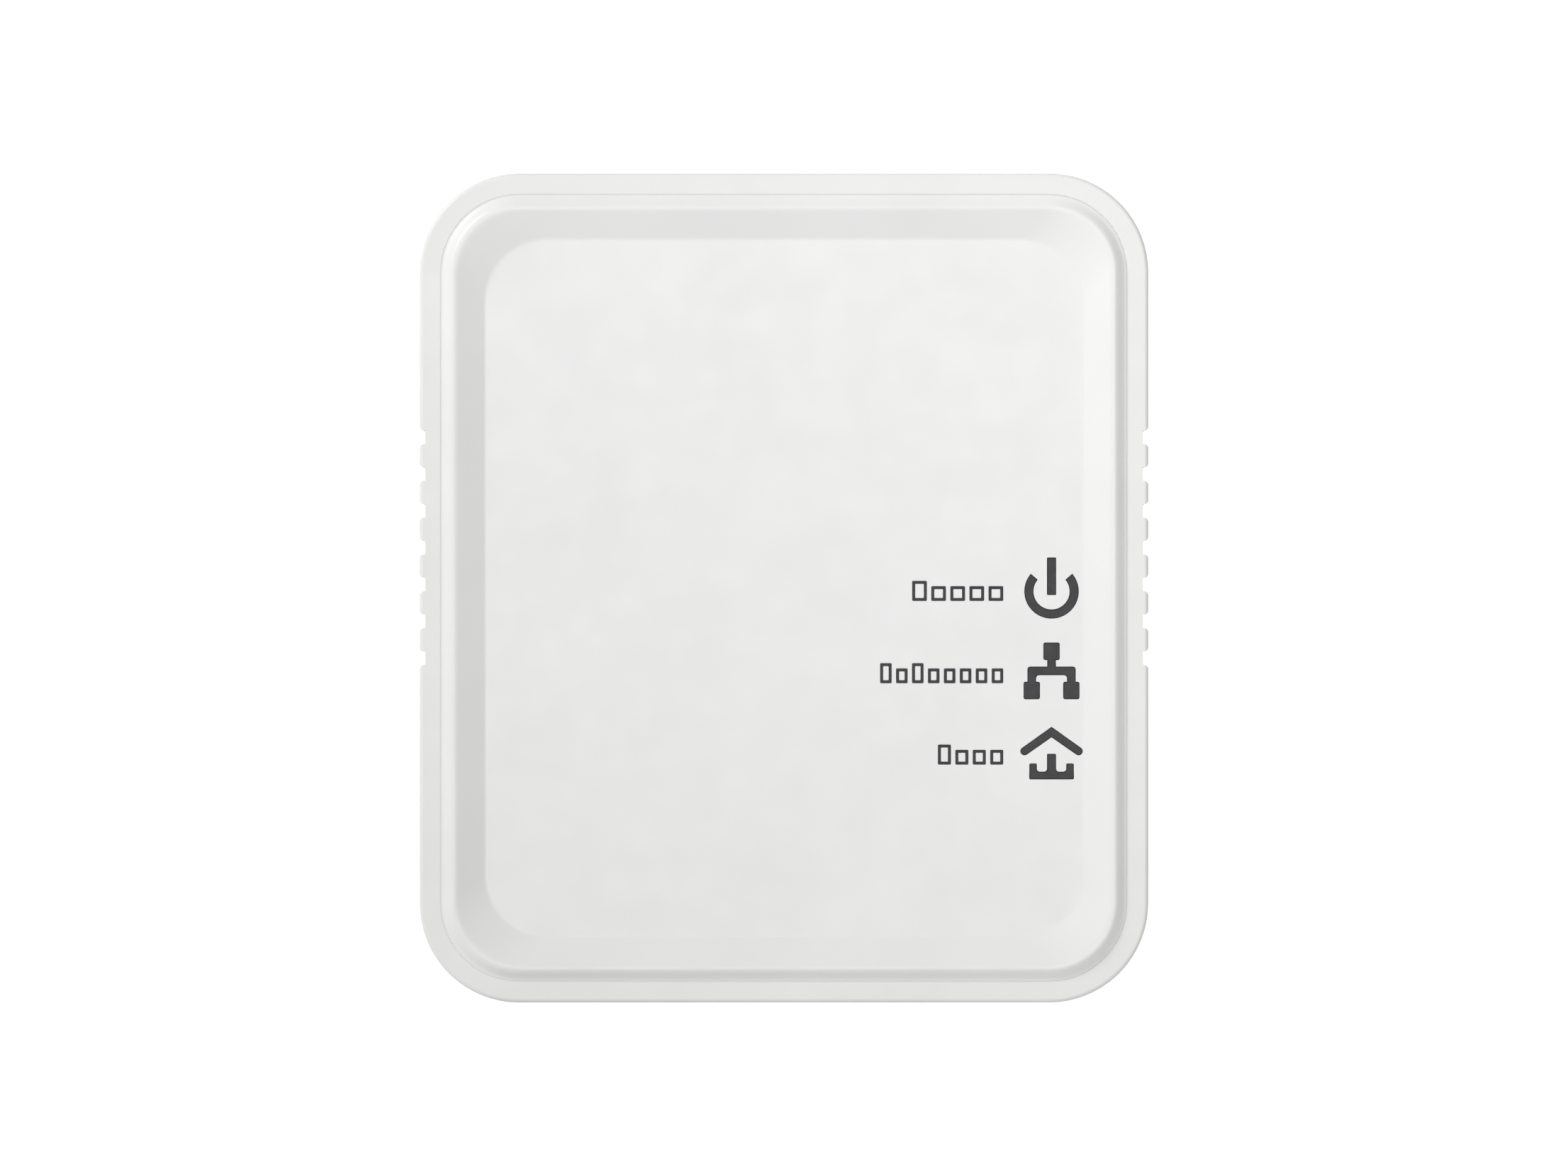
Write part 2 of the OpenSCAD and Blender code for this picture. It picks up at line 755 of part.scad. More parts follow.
// A board between two heights, with notches round the screw posts in the corners beyond notch
module board_outline(low, high, notch) {
  board_w = inner_w - 2;
  clear = 10;
  difference() {
    translate([-board_w / 2, low]) square([board_w, high - low]);
    for (x = [-1, 1], y = [-1, 1])
      translate([x * (notch[0] + clear / 2), y * (notch[1] + clear / 2)]) square(clear, center = true);
  }
}

module main_board() {
  edge = inner_h / 2 - 1.5;
  color("darkgreen") translate([0, 0, main_back_z]) linear_extrude(board_t) difference() {
    board_outline(-edge, edge, [20, 24]);
    for (x = [-1, 1]) translate([x * lug_x, lug_y]) circle(board_hole_r);
    for (p = header_places) translate(p) circle(lead_hole_r);
  }
}

module main_board_screws() {
  color("silver") for (x = [-1, 1]) translate([x * lug_x, lug_y, main_back_z])
    screw(small_head[0], small_head[1], small_screw_r, main_screw_l);
}

// The processor under its thermal pad and heat spreader
plc_at = [-4, 12];
plc_size = [10, 10, 0.9];
pad_size = [11, 11, 0.5];

module plc_chip() {
  color("black") box(plc_size, [plc_at[0], plc_at[1], main_z]);
}

module thermal_pad() {
  color("lightblue") box(pad_size, [plc_at[0], plc_at[1], main_z + plc_size[2]]);
}

module heat_spreader() {
  plate = [22, 22, 0.7];
  fin = [0.6, 22, 1.6];
  fin_pitch = 2.6;
  color("silver") translate([plc_at[0], plc_at[1], main_z + plc_size[2] + pad_size[2]]) {
    box(plate, [0, 0, 0]);
    for (p = row([0, 0], 9, fin_pitch)) box(fin, [p[0], 0, 0]);
  }
}

module phy_chip() {
  color("black") box([6, 6, 0.85], [-10, -8, main_z]);
}

module memory_chip() {
  color("black") translate([14, 9, main_z]) legged_chip([12, 8, 1], 0.15, 12, 0.95, 0.9);
}

module flash_chip() {
  color("black") translate([13, 20.5, main_z]) legged_chip([5.2, 5.2, 1.8], 0.15, 4, 1.27, 1);
}

module crystal() {
  color("silver") translate([2, -8, main_z]) {
    linear_extrude(0.5) slot_shape(11.4, 4.7);
    linear_extrude(3.2) slot_shape(10.4, 3.9);
  }
}

module lan_transformer() {
  color("black") translate([10, -16.7, main_back_z]) mirror([0, 0, 1])
    legged_chip([13, 6.4, 3.8], 0.15, 8, 1.27, 0.9);
}

// ---------- network jack ----------

// The plug's way in, with two steps for its latch, seen from below: y = 0 is the contact side
module plug_hole(grow = 0) {
  for (step = [[11.8, 6.9], [6.2, 8.6], [3.3, 9.7]])
    translate([-step[0] / 2 - grow, -grow]) square(step + 2 * [grow, grow]);
}

// A shape seen from below, drawn from y for the given length towards the case's top
module jack_prism(y, length) {
  translate([jack_x, y + length, 0]) rotate([90, 0, 0]) linear_extrude(length) children();
}

// The jack's outside, shrunk by an inset on its two sides and on the side away from the board
module jack_block(inset, high = jack_top_z) {
  translate([-jack_w / 2 + inset, jack_bottom_z + inset])
    square([jack_w - 2 * inset, high - jack_bottom_z - inset]);
}

// Eight wires that rise from the contact side as they go deeper
module contact_wires(grow = 0) {
  contact_r = 0.22;
  pitch = 1.02;
  start = [jack_mouth_y + 1.6, cavity_z + 0.35];
  end = [jack_mouth_y + cavity_l + 1.4, cavity_z + 1.5];
  rise = atan2(end[1] - start[1], end[0] - start[0]);
  for (p = row([jack_x, 0], 8, pitch)) translate([p[0], start[0], start[1]])
    rotate([rise - 90, 0, 0]) cylinder(r = contact_r + grow, h = norm(end - start));
}

module jack_housing() {
  inset = sheet_metal + 0.02;
  wire_gap = 0.03;
  color("black") difference() {
    jack_prism(jack_mouth_y + inset, jack_l - 2 * inset) jack_block(inset);
    jack_prism(jack_mouth_y - 1, cavity_l + 1) translate([0, cavity_z]) plug_hole();
    contact_wires(wire_gap);
  }
}

// A folded sheet round the housing, with a window for the plug
module jack_shield() {
  window_edge = 0.25;
  color("silver") difference() {
    jack_prism(jack_mouth_y, jack_l) jack_block(0);
    jack_prism(jack_mouth_y + sheet_metal, jack_l - 2 * sheet_metal)
      jack_block(sheet_metal, jack_top_z + 1);
    jack_prism(jack_mouth_y - 1, 2) translate([0, cavity_z]) plug_hole(window_edge);
  }
}

module jack_contacts() {
  color("gold") contact_wires();
}

// ---------- between the boards ----------

// Five pins from board to board, each standing proud of both
module header_pins() {
  pin = 0.64;
  below = 0.8;
  above = 1.2;
  color("gold") for (p = header_places)
    box([pin, pin, main_z + above - power_z + below], [p[0], p[1], power_z - below]);
}

module header_spacers() {
  spacer_h = 2.5;
  pin_hole = 0.68;
  color("black") for (z = [power_top_z, main_back_z - spacer_h]) translate([0, 0, z]) linear_extrude(spacer_h)
    difference() {
      translate(header_at) square([5 * header_pitch + 0.2, 2.4], center = true);
      for (p = header_places) translate(p) square(pin_hole, center = true);
    }
}

module insulation_sheet() {
  sheet_t = 0.35;
  color("ivory") box([43, 35, sheet_t], [0, 6.5, main_back_z - sheet_t - eps]);
}

// ---------- power board ----------

module power_board() {
  low = -13;
  high = inner_h / 2 - 1.5;
  color("darkgreen") translate([0, 0, power_z]) linear_extrude(board_t) difference() {
    board_outline(low, high, [19.2, 23.2]);
    for (p = concat(lead_places, header_places)) translate(p) circle(lead_hole_r);
    for (p = power_screws) translate(p) circle(board_hole_r);
    for (x = [-1, 1]) translate([x * pin_x, wire_y]) circle(lead_hole_r);
  }
}

module power_board_screws() {
  color("silver") for (p = power_screws) translate([p[0], p[1], power_top_z]) mirror([0, 0, 1])
    screw(small_head[0], small_head[1], small_screw_r, power_screw_l);
}

module power_board_leads() {
  lead_r = 0.3;
  below = 0.9;
  color("silver") for (p = lead_places) translate([p[0], p[1], power_z - below])
    cylinder(r = lead_r, h = parts_z - power_z + below);
}

module fuse() {
  r = 4.2;
  h = 7.4;
  bevel = 0.5;
  color("saddlebrown") translate([fuse_at[0], fuse_at[1], parts_z]) {
    cylinder(r = r, h = h);
    translate([0, 0, h]) cylinder(r1 = r, r2 = r - bevel, h = bevel);
  }
}

module varistor() {
  color("steelblue") standing_disc(varistor_at, 4.5, 3.4);
}

module film_capacitor(at, size) {
  color("gold") translate([at[0], at[1], parts_z]) rounded_plate(size[0], size[1], 0.5, size[2]);
}

// The choke's ring stands on its edge
choke_z = parts_z + 6.1;
choke_r = 4.1;
choke_section = [2.4, 4.6];

module choke_frame() {
  translate([choke_at[0], choke_at[1], choke_z]) rotate([90, 0, 0]) children();
}

module choke_core() {
  color("dimgray") choke_frame() rotate_extrude()
    translate([choke_r, 0]) square(choke_section, center = true);
}

// Two coils of separate turns on the left and right of the ring
module choke_windings() {
  wire_r = 0.35;
  air = 0.06;
  turns = 7;
  arc = 120;
  w = choke_section[0] + 2 * air + 4 * wire_r;
  h = choke_section[1] + 2 * air + 4 * wire_r;
  color("peru") choke_frame() for (side = [0, 180], i = [0:turns - 1])
    rotate([0, 0, side + arc * (i / (turns - 1) - 0.5)]) translate([choke_r, 0, 0]) rotate([90, 0, 0])
      ring_sweep(w, h, 0.8) translate([wire_r, 0]) circle(wire_r);
}

module bridge_rectifier() {
  color("black") box([8.5, 6.4, 3.2], [bridge_at[0], bridge_at[1], parts_z]);
}

module bulk_capacitors() {
  color("midnightblue") for (p = bulk_at) translate([p[0], p[1], parts_z]) can(4, 11.8);
}

module filter_inductor() {
  flange_r = 3.4;
  coil_r = 3.15;
  end_t = 1.2;
  h = 8;
  color("darkslategray") translate([inductor_at[0], inductor_at[1], parts_z]) rotate_extrude() {
    square([coil_r, h]);
    square([flange_r, end_t]);
    translate([0, h - end_t]) square([flange_r, end_t]);
  }
}

// The transformer: rails on the board, a core round a window on each side, and a wound bobbin in the windows
rail_h = 2;
core_z = parts_z + rail_h;
core_h = 10;
core_w = 13;
yoke = 1.5;
leg = [3, 6];
flange = [9.8, 12, 0.7];
window_w = (core_w - leg[0]) / 2 - yoke;
bobbin_low = core_z + yoke + 0.1;
bobbin_high = core_z + core_h - yoke - 0.1;
bobbin_bore = leg + [0.2, 0.2];
bobbin_wall = 0.6;

module at_transformer() {
  translate([transformer_at[0], transformer_at[1], 0]) children();
}

module transformer_core() {
  color("dimgray") at_transformer() difference() {
    box([core_w, leg[1], core_h], [0, 0, core_z]);
    for (s = [-1, 1])
      box([window_w, leg[1] + 2, core_h - 2 * yoke], [s * (leg[0] + window_w) / 2, 0, core_z + yoke]);
  }
}

module transformer_bobbin() {
  rail = [12, 2.6];
  rail_y = (flange[1] - rail[1]) / 2;
  tube = bobbin_bore + 2 * [bobbin_wall, bobbin_wall];
  color("black") at_transformer() {
    difference() {
      union() {
        box([tube[0], tube[1], bobbin_high - bobbin_low], [0, 0, bobbin_low]);
        box(flange, [0, 0, bobbin_low]);
        box(flange, [0, 0, bobbin_high - flange[2]]);
      }
      box([bobbin_bore[0], bobbin_bore[1], core_h], [0, 0, core_z]);
    }
    for (s = [-1, 1]) {
      box([flange[0], rail[1], bobbin_low - core_z + eps], [0, s * rail_y, core_z]);
      box([rail[0], rail[1], rail_h + eps], [0, s * rail_y, parts_z]);
    }
  }
}

module transformer_winding() {
  low = bobbin_low + flange[2];
  high = bobbin_high - flange[2];
  hole = bobbin_bore + 2 * [bobbin_wall, bobbin_wall];
  color("gold") at_transformer() translate([0, 0, low]) linear_extrude(high - low) difference() {
    rounded_square(9.2, 11.4, 1.5);
    square(hole, center = true);
  }
}

module power_controller() {
  color("black") translate([controller_at[0], controller_at[1], parts_z])
    legged_chip([9.4, 6.1, 3.2], 0.5, 4, 2.54, 0.5);
}

module y_capacitor() {
  color("royalblue") standing_disc(y_cap_at, 3.7, 3.2);
}

module optocoupler() {
  color("black") box([6.4, 4.6, 3.4], [opto_at[0], opto_at[1], parts_z]);
}

module coupling_transformer() {
  base = [9.4, 9.4, 1.6];
  pot_r = 4.2;
  pot_h = 6;
  color("black") translate([coupler_at[0], coupler_at[1], parts_z]) {
    rounded_plate(base[0], base[1], 0.8, base[2]);
    translate([0, 0, base[2] - eps]) cylinder(r = pot_r, h = pot_h);
  }
}

module output_diode() {
  body = [6.8, 5.8, 2.2];
  tab = [1.4, 3, 0.25];
  color("black") translate([diode_at[0], diode_at[1], power_top_z]) {
    box(body, [0, 0, 0.1]);
    for (s = [-1, 1]) box(tab, [s * (body[0] / 2 + 0.2), 0, 0]);
  }
}

module output_capacitors() {
  color("darkgreen") for (p = output_at) translate([p[0], p[1], parts_z]) can(3.9, 11.5);
}

// ---------- plug ----------

pin_r = pin_d / 2;
neck_r = pin_r - 0.5;
tail_l = 10;

// A round-ended pin, thinner under its sleeve, with a collar held in the carrier and a tail behind it
module plug_pin(side) {
  body_r = 1.8;
  body_l = 8;
  collar_r = 2.8;
  collar_l = 1.5;
  tail_r = 1.2;
  translate([side * pin_x, 0, 0]) rotate_extrude() intersection() {
    union() {
      translate([0, pin_r - pin_l]) circle(pin_r);
      translate([0, pin_r - pin_l]) square([pin_r, pin_l - pin_r - sleeve_l]);
      translate([0, -sleeve_l - eps]) square([neck_r, sleeve_l + wall + 2 * eps]);
      translate([0, wall + eps]) square([body_r, body_l]);
      translate([0, wall + 2]) square([collar_r, collar_l]);
      translate([0, wall + body_l]) square([tail_r, tail_l + 2 - body_l]);
    }
    translate([0, -pin_l]) square([pin_l, 2 * pin_l]);
  }
}

module pin_sleeves() {
  color("dimgray") for (s = [-1, 1]) translate([s * pin_x, 0, -sleeve_l]) difference() {
    cylinder(d = sleeve_d, h = sleeve_l + wall);
    translate([0, 0, -1]) cylinder(r = neck_r, h = sleeve_l + wall + 2);
  }
}

// The block inside the plug that holds both pins by their collars
module pin_carrier() {
  carrier_l = 7.5;
  carrier_gap = 0.2;
  color("dimgray") difference() {
    translate([0, 0, wall + eps]) linear_extrude(carrier_l) plug_outline(-plug_skin - carrier_gap);
    for (s = [-1, 1]) plug_pin(s);
  }
}

// A wire from a pin's tail, past a bend to the board's hole, ending in a bare tip through the board.
// The bends are beads a little wider than the wire.
module tail_wire(side) {
  r = 0.9;
  bead_r = r + 0.06;
  tip_r = 0.4;
  start_z = wall + tail_l + 2 + eps;
  path = [[0, start_z], [0, start_z + 1.5], [wire_y, start_z + 4.5], [wire_y, power_z - 0.1]];
  translate([side * pin_x, 0, 0]) {
    for (i = [0:2]) {
      step = path[i + 1] - path[i];
      translate([0, path[i][0], path[i][1]]) rotate([-atan2(step[0], step[1]), 0, 0])
        cylinder(r = r, h = norm(step));
      if (i > 0) translate([0, path[i][0], path[i][1]]) sphere(bead_r);
    }
    translate([0, wire_y, power_z - 1]) cylinder(r = tip_r, h = board_t + 1.8);
  }
}

// ---------- the assembly, turned upright ----------

module upright() {
  rotate([90, 0, 0]) children();
}

upright() front_panel();
upright() front_shell();
upright() rear_shell();
upright() case_screws();
upright() rating_label();
upright() icon_lens(0);  // power_icon_lens
upright() icon_lens(1);  // network_icon_lens
upright() icon_lens(2);  // home_icon_lens
upright() light_baffle();
upright() led(0);  // power_led
upright() led(1);  // network_led
upright() led(2);  // home_led
upright() pair_button();
upright() pair_switch();
upright() pair_switch_stem();
upright() reset_switch();
upright() reset_switch_stem();
upright() main_board();
upright() main_board_screws();
upright() plc_chip();
upright() thermal_pad();
upright() heat_spreader();
upright() phy_chip();
upright() memory_chip();
upright() flash_chip();
upright() crystal();
upright() lan_transformer();
upright() jack_housing();
upright() jack_shield();
upright() jack_contacts();
upright() header_pins();
upright() header_spacers();
upright() insulation_sheet();
upright() power_board();
upright() power_board_screws();
upright() power_board_leads();
upright() color("silver") plug_pin(-1);  // plug_pin_left
upright() color("silver") plug_pin(1);  // plug_pin_right
upright() pin_sleeves();
upright() pin_carrier();
upright() color("saddlebrown") tail_wire(-1);  // live_wire
upright() color("blue") tail_wire(1);  // neutral_wire
upright() fuse();
upright() varistor();
upright() film_capacitor(x_cap_at, [13, 6, 11]);  // x_capacitor
upright() choke_core();
upright() choke_windings();
upright() bridge_rectifier();
upright() bulk_capacitors();
upright() filter_inductor();
upright() transformer_core();
upright() transformer_bobbin();
upright() transformer_winding();
upright() power_controller();
upright() y_capacitor();
upright() optocoupler();
upright() coupling_transformer();
upright() film_capacitor(coupling_cap_at, [10, 4, 8]);  // coupling_capacitor
upright() output_diode();
upright() output_capacitors();
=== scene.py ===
import json
import math
import random

import bmesh
import bpy
from mathutils import Matrix, Vector


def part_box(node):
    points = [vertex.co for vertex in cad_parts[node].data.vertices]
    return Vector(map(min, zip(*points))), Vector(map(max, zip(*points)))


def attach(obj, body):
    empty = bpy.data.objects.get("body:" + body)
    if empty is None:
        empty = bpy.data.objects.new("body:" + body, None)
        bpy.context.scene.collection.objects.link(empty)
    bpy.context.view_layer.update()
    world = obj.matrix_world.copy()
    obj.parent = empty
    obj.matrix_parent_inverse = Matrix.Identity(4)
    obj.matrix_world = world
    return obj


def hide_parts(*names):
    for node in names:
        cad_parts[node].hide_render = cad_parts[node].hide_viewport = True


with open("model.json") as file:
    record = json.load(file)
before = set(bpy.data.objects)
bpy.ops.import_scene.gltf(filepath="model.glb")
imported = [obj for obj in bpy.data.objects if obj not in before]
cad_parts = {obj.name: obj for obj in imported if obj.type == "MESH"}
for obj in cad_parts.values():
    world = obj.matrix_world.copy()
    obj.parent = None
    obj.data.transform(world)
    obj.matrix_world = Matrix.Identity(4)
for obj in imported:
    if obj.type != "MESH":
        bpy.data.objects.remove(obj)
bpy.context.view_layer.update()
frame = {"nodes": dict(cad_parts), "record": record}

MM = 0.001
ROOT = "adapter"
SMOOTH_BELOW = 32  # degrees; a sharper fold stays an edge
SPLINE_STEPS = 8
CONE_SIDES = 20
nodes = frame["nodes"]


# ---------- materials ----------

class Finish:
    """A material and short calls for the nodes that the finishes share. Lengths are in millimetres."""

    def __init__(self, name, colour, roughness, metallic=0.0):
        self.material = bpy.data.materials.new(name)
        self.material.use_nodes = True
        self.tree = self.material.node_tree
        self.tree.nodes.clear()
        self.output = self.node("ShaderNodeOutputMaterial")
        self.surface = self.node("ShaderNodeBsdfPrincipled")
        self.link(self.surface.outputs["BSDF"], self.output.inputs["Surface"])
        self.place = self.node("ShaderNodeTexCoord").outputs["Object"]
        self.colour = colour
        self.set("Base Color", (*colour, 1.0))
        self.set("Roughness", roughness)
        self.set("Metallic", metallic)

    def node(self, kind, **settings):
        made = self.tree.nodes.new(kind)
        for key, value in settings.items():
            setattr(made, key, value)
        return made

    def link(self, source, target):
        self.tree.links.new(source, target)

    def set(self, key, value):
        self.surface.inputs[key].default_value = value

    def stretched(self, stretch):
        """The place, scaled so that a pattern is drawn out along an axis whose stretch is below 1."""
        mapping = self.node("ShaderNodeMapping")
        mapping.inputs["Scale"].default_value = stretch
        self.link(self.place, mapping.inputs["Vector"])
        return mapping.outputs["Vector"]

    def noise(self, size, detail=2.0, stretch=None):
        """A noise whose lumps are about size across, as a value from 0 to 1."""
        made = self.node("ShaderNodeTexNoise")
        made.inputs["Scale"].default_value = 1 / (size * MM)
        made.inputs["Detail"].default_value = detail
        self.link(self.stretched(stretch) if stretch else self.place, made.inputs["Vector"])
        return made.outputs["Fac"]

    def bands(self, axis, pitch, distortion=0.0):
        """Waves along an axis, pitch millimetres apart, as a value from 0 to 1."""
        made = self.node("ShaderNodeTexWave", wave_type="BANDS", bands_direction=axis, wave_profile="SIN")
        made.inputs["Scale"].default_value = 2 * math.pi / 20 / (pitch * MM)
        made.inputs["Distortion"].default_value = distortion
        self.link(self.place, made.inputs["Vector"])
        return made.outputs["Fac"]

    def above(self, value, level):
        """1 where the value is above the level, and 0 elsewhere."""
        made = self.node("ShaderNodeMath", operation="GREATER_THAN")
        made.inputs[1].default_value = level
        self.link(value, made.inputs[0])
        return made.outputs["Value"]

    def spread(self, value, low, high, from_low=0.3, from_high=0.7):
        """The value's middle range, spread from low to high."""
        made = self.node("ShaderNodeMapRange")
        limits = {"From Min": from_low, "From Max": from_high, "To Min": low, "To Max": high}
        for key, number in limits.items():
            made.inputs[key].default_value = number
        self.link(value, made.inputs["Value"])
        return made.outputs["Result"]

    def mix(self, amount, first, second):
        """A colour between two colours, each given as numbers or as another node's output."""
        made = self.node("ShaderNodeMix", data_type="RGBA")
        sockets = [s for s in made.inputs if s.type == "RGBA"]
        for socket, colour in zip(sockets, (first, second)):
            if isinstance(colour, tuple):
                socket.default_value = (*colour, 1.0)
            else:
                self.link(colour, socket)
        self.link(amount, made.inputs["Factor"])
        return next(s for s in made.outputs if s.type == "RGBA")

    def vary_colour(self, size, amount, tint=(1.0, 1.0, 1.0)):
        """Lightens and darkens the base colour a little in patches of the given size."""
        low = tuple(c * (1 - amount) * t for c, t in zip(self.colour, tint))
        high = tuple(min(1.0, c * (1 + amount)) for c in self.colour)
        mixed = self.mix(self.spread(self.noise(size), 0, 1), low, high)
        self.link(mixed, self.surface.inputs["Base Color"])
        return mixed

    def paint_light_gradient(self, direction, low, high, span=80):
        """Painted light: scales the base colour from low to high along a direction, over a span centred on
        the origin, as a painted falloff of light across the surface.
        """
        along = self.node("ShaderNodeVectorMath", operation="DOT_PRODUCT")
        along.inputs[1].default_value = Vector(direction).normalized() / (span * MM)
        self.link(self.place, along.inputs[0])
        share = self.spread(along.outputs["Value"], low, high, -0.5, 0.5)
        scaled = self.node("ShaderNodeVectorMath", operation="SCALE")
        self.link(self.surface.inputs["Base Color"].links[0].from_socket, scaled.inputs[0])
        self.link(share, scaled.inputs["Scale"])
        self.link(scaled.outputs["Vector"], self.surface.inputs["Base Color"])

    def vary_roughness(self, size, low, high, stretch=None):
        varied = self.spread(self.noise(size, 3.0, stretch), low, high)
        self.link(varied, self.surface.inputs["Roughness"])

    def relief(self, heights, edge=0.0):
        """Bumps from (height value, depth) pairs, over edges softened by the radius edge."""
        normal = None
        if edge:
            bevel = self.node("ShaderNodeBevel", samples=4)
            bevel.inputs["Radius"].default_value = edge * MM
            normal = bevel.outputs["Normal"]
        for height, depth in heights:
            bump = self.node("ShaderNodeBump")
            bump.inputs["Distance"].default_value = depth * MM
            self.link(height, bump.inputs["Height"])
            if normal:
                self.link(normal, bump.inputs["Normal"])
            normal = bump.outputs["Normal"]
        self.link(normal, self.surface.inputs["Normal"])


def moulded(name, colour, roughness, grain=0.16, depth=0.004, edge=0.1, mottle=0.015):
    """Injection-moulded plastic: a fine eroded grain, faint flow marks and soft edges."""
    made = Finish(name, colour, roughness)
    made.vary_colour(9, mottle)
    made.vary_roughness(2.5, roughness - 0.05, roughness + 0.06)
    made.relief([(made.noise(grain, 2.0), depth), (made.noise(14, 1.0), 0.02)], edge)
    made.set("IOR", 1.5)
    return made


def metal(name, colour, roughness, scratch=(1.0, 1.0, 1.0), tarnish=0.03):
    """Plated or drawn metal: faint tarnish, and fine scratches along the axis whose scratch is smallest."""
    made = Finish(name, colour, roughness, metallic=1.0)
    made.vary_colour(3.5, tarnish, (1.0, 0.99, 0.97))
    made.vary_roughness(0.5, roughness - 0.06, roughness + 0.12, scratch)
    made.relief([(made.noise(0.09, 3.0, scratch), 0.0015)], 0.05)
    return made


def circuit_board(name, mask, tracks):
    """Solder mask over copper: patches of parallel tracks, along x or z, paler and slightly raised."""
    patch, pitch = 6.5, 0.55
    made = Finish(name, mask, 0.32)
    cells = made.node("ShaderNodeTexVoronoi", distance="CHEBYCHEV")
    cells.inputs["Scale"].default_value = 1 / (patch * MM)
    made.link(made.place, cells.inputs["Vector"])
    lot = made.node("ShaderNodeSeparateColor")
    made.link(cells.outputs["Color"], lot.inputs["Color"])
    turn = made.above(lot.outputs["Red"], 0.5)
    lines = made.node("ShaderNodeMix")
    made.link(turn, lines.inputs["Factor"])
    made.link(made.bands("X", pitch), lines.inputs["A"])
    made.link(made.bands("Z", pitch), lines.inputs["B"])
    pattern = made.node("ShaderNodeMath", operation="MULTIPLY")
    made.link(made.above(lines.outputs["Result"], 0.62), pattern.inputs[0])
    made.link(made.above(lot.outputs["Green"], 0.4), pattern.inputs[1])
    copper = pattern.outputs["Value"]
    made.link(made.mix(copper, mask, tracks), made.surface.inputs["Base Color"])
    made.vary_roughness(4, 0.26, 0.4)
    made.relief([(copper, 0.03), (made.noise(0.25), 0.004)])
    made.set("Coat Weight", 0.3)
    return made


def chip_body(name, colour):
    """Filled epoxy with a sandy matt surface."""
    made = Finish(name, colour, 0.62)
    made.vary_colour(0.35, 0.2)
    made.vary_roughness(0.8, 0.52, 0.72)
    made.relief([(made.noise(0.07, 3.0), 0.004)], 0.06)
    return made


def glossy_skin(name, colour, roughness=0.22, depth=0.01):
    """Dipped, shrunk or extruded insulation: glossy with a slight orange peel."""
    made = Finish(name, colour, roughness)
    made.vary_colour(3, 0.08)
    made.vary_roughness(1.2, roughness - 0.05, roughness + 0.1)
    made.relief([(made.noise(0.9, 2.0), depth)], 0.08)
    made.set("Coat Weight", 0.4)
    return made


def ferrite(name, colour):
    """Sintered ferrite: dark, faintly metallic and pitted."""
    made = Finish(name, colour, 0.5, metallic=0.25)
    made.vary_colour(0.4, 0.25)
    made.vary_roughness(0.6, 0.4, 0.65)
    made.relief([(made.noise(0.12, 4.0), 0.01)], 0.08)
    return made


def wound(name, colour, pitch, axis):
    """Layers of wire or tape side by side along an axis, as fine ribs."""
    made = Finish(name, colour, 0.35)
    made.vary_colour(1.5, 0.15)
    made.relief([(made.bands(axis, pitch, 0.4), 0.05), (made.noise(0.3), 0.01)])
    return made


def smoked(name):
    """Dark light-window plastic, a little textured on its face."""
    made = Finish(name, (0.028, 0.028, 0.031), 0.46)
    made.vary_colour(1.2, 0.12)
    made.vary_roughness(0.6, 0.4, 0.52)
    made.relief([(made.noise(0.1, 2.0), 0.002)], 0.05)
    made.set("IOR", 1.49)
    return made


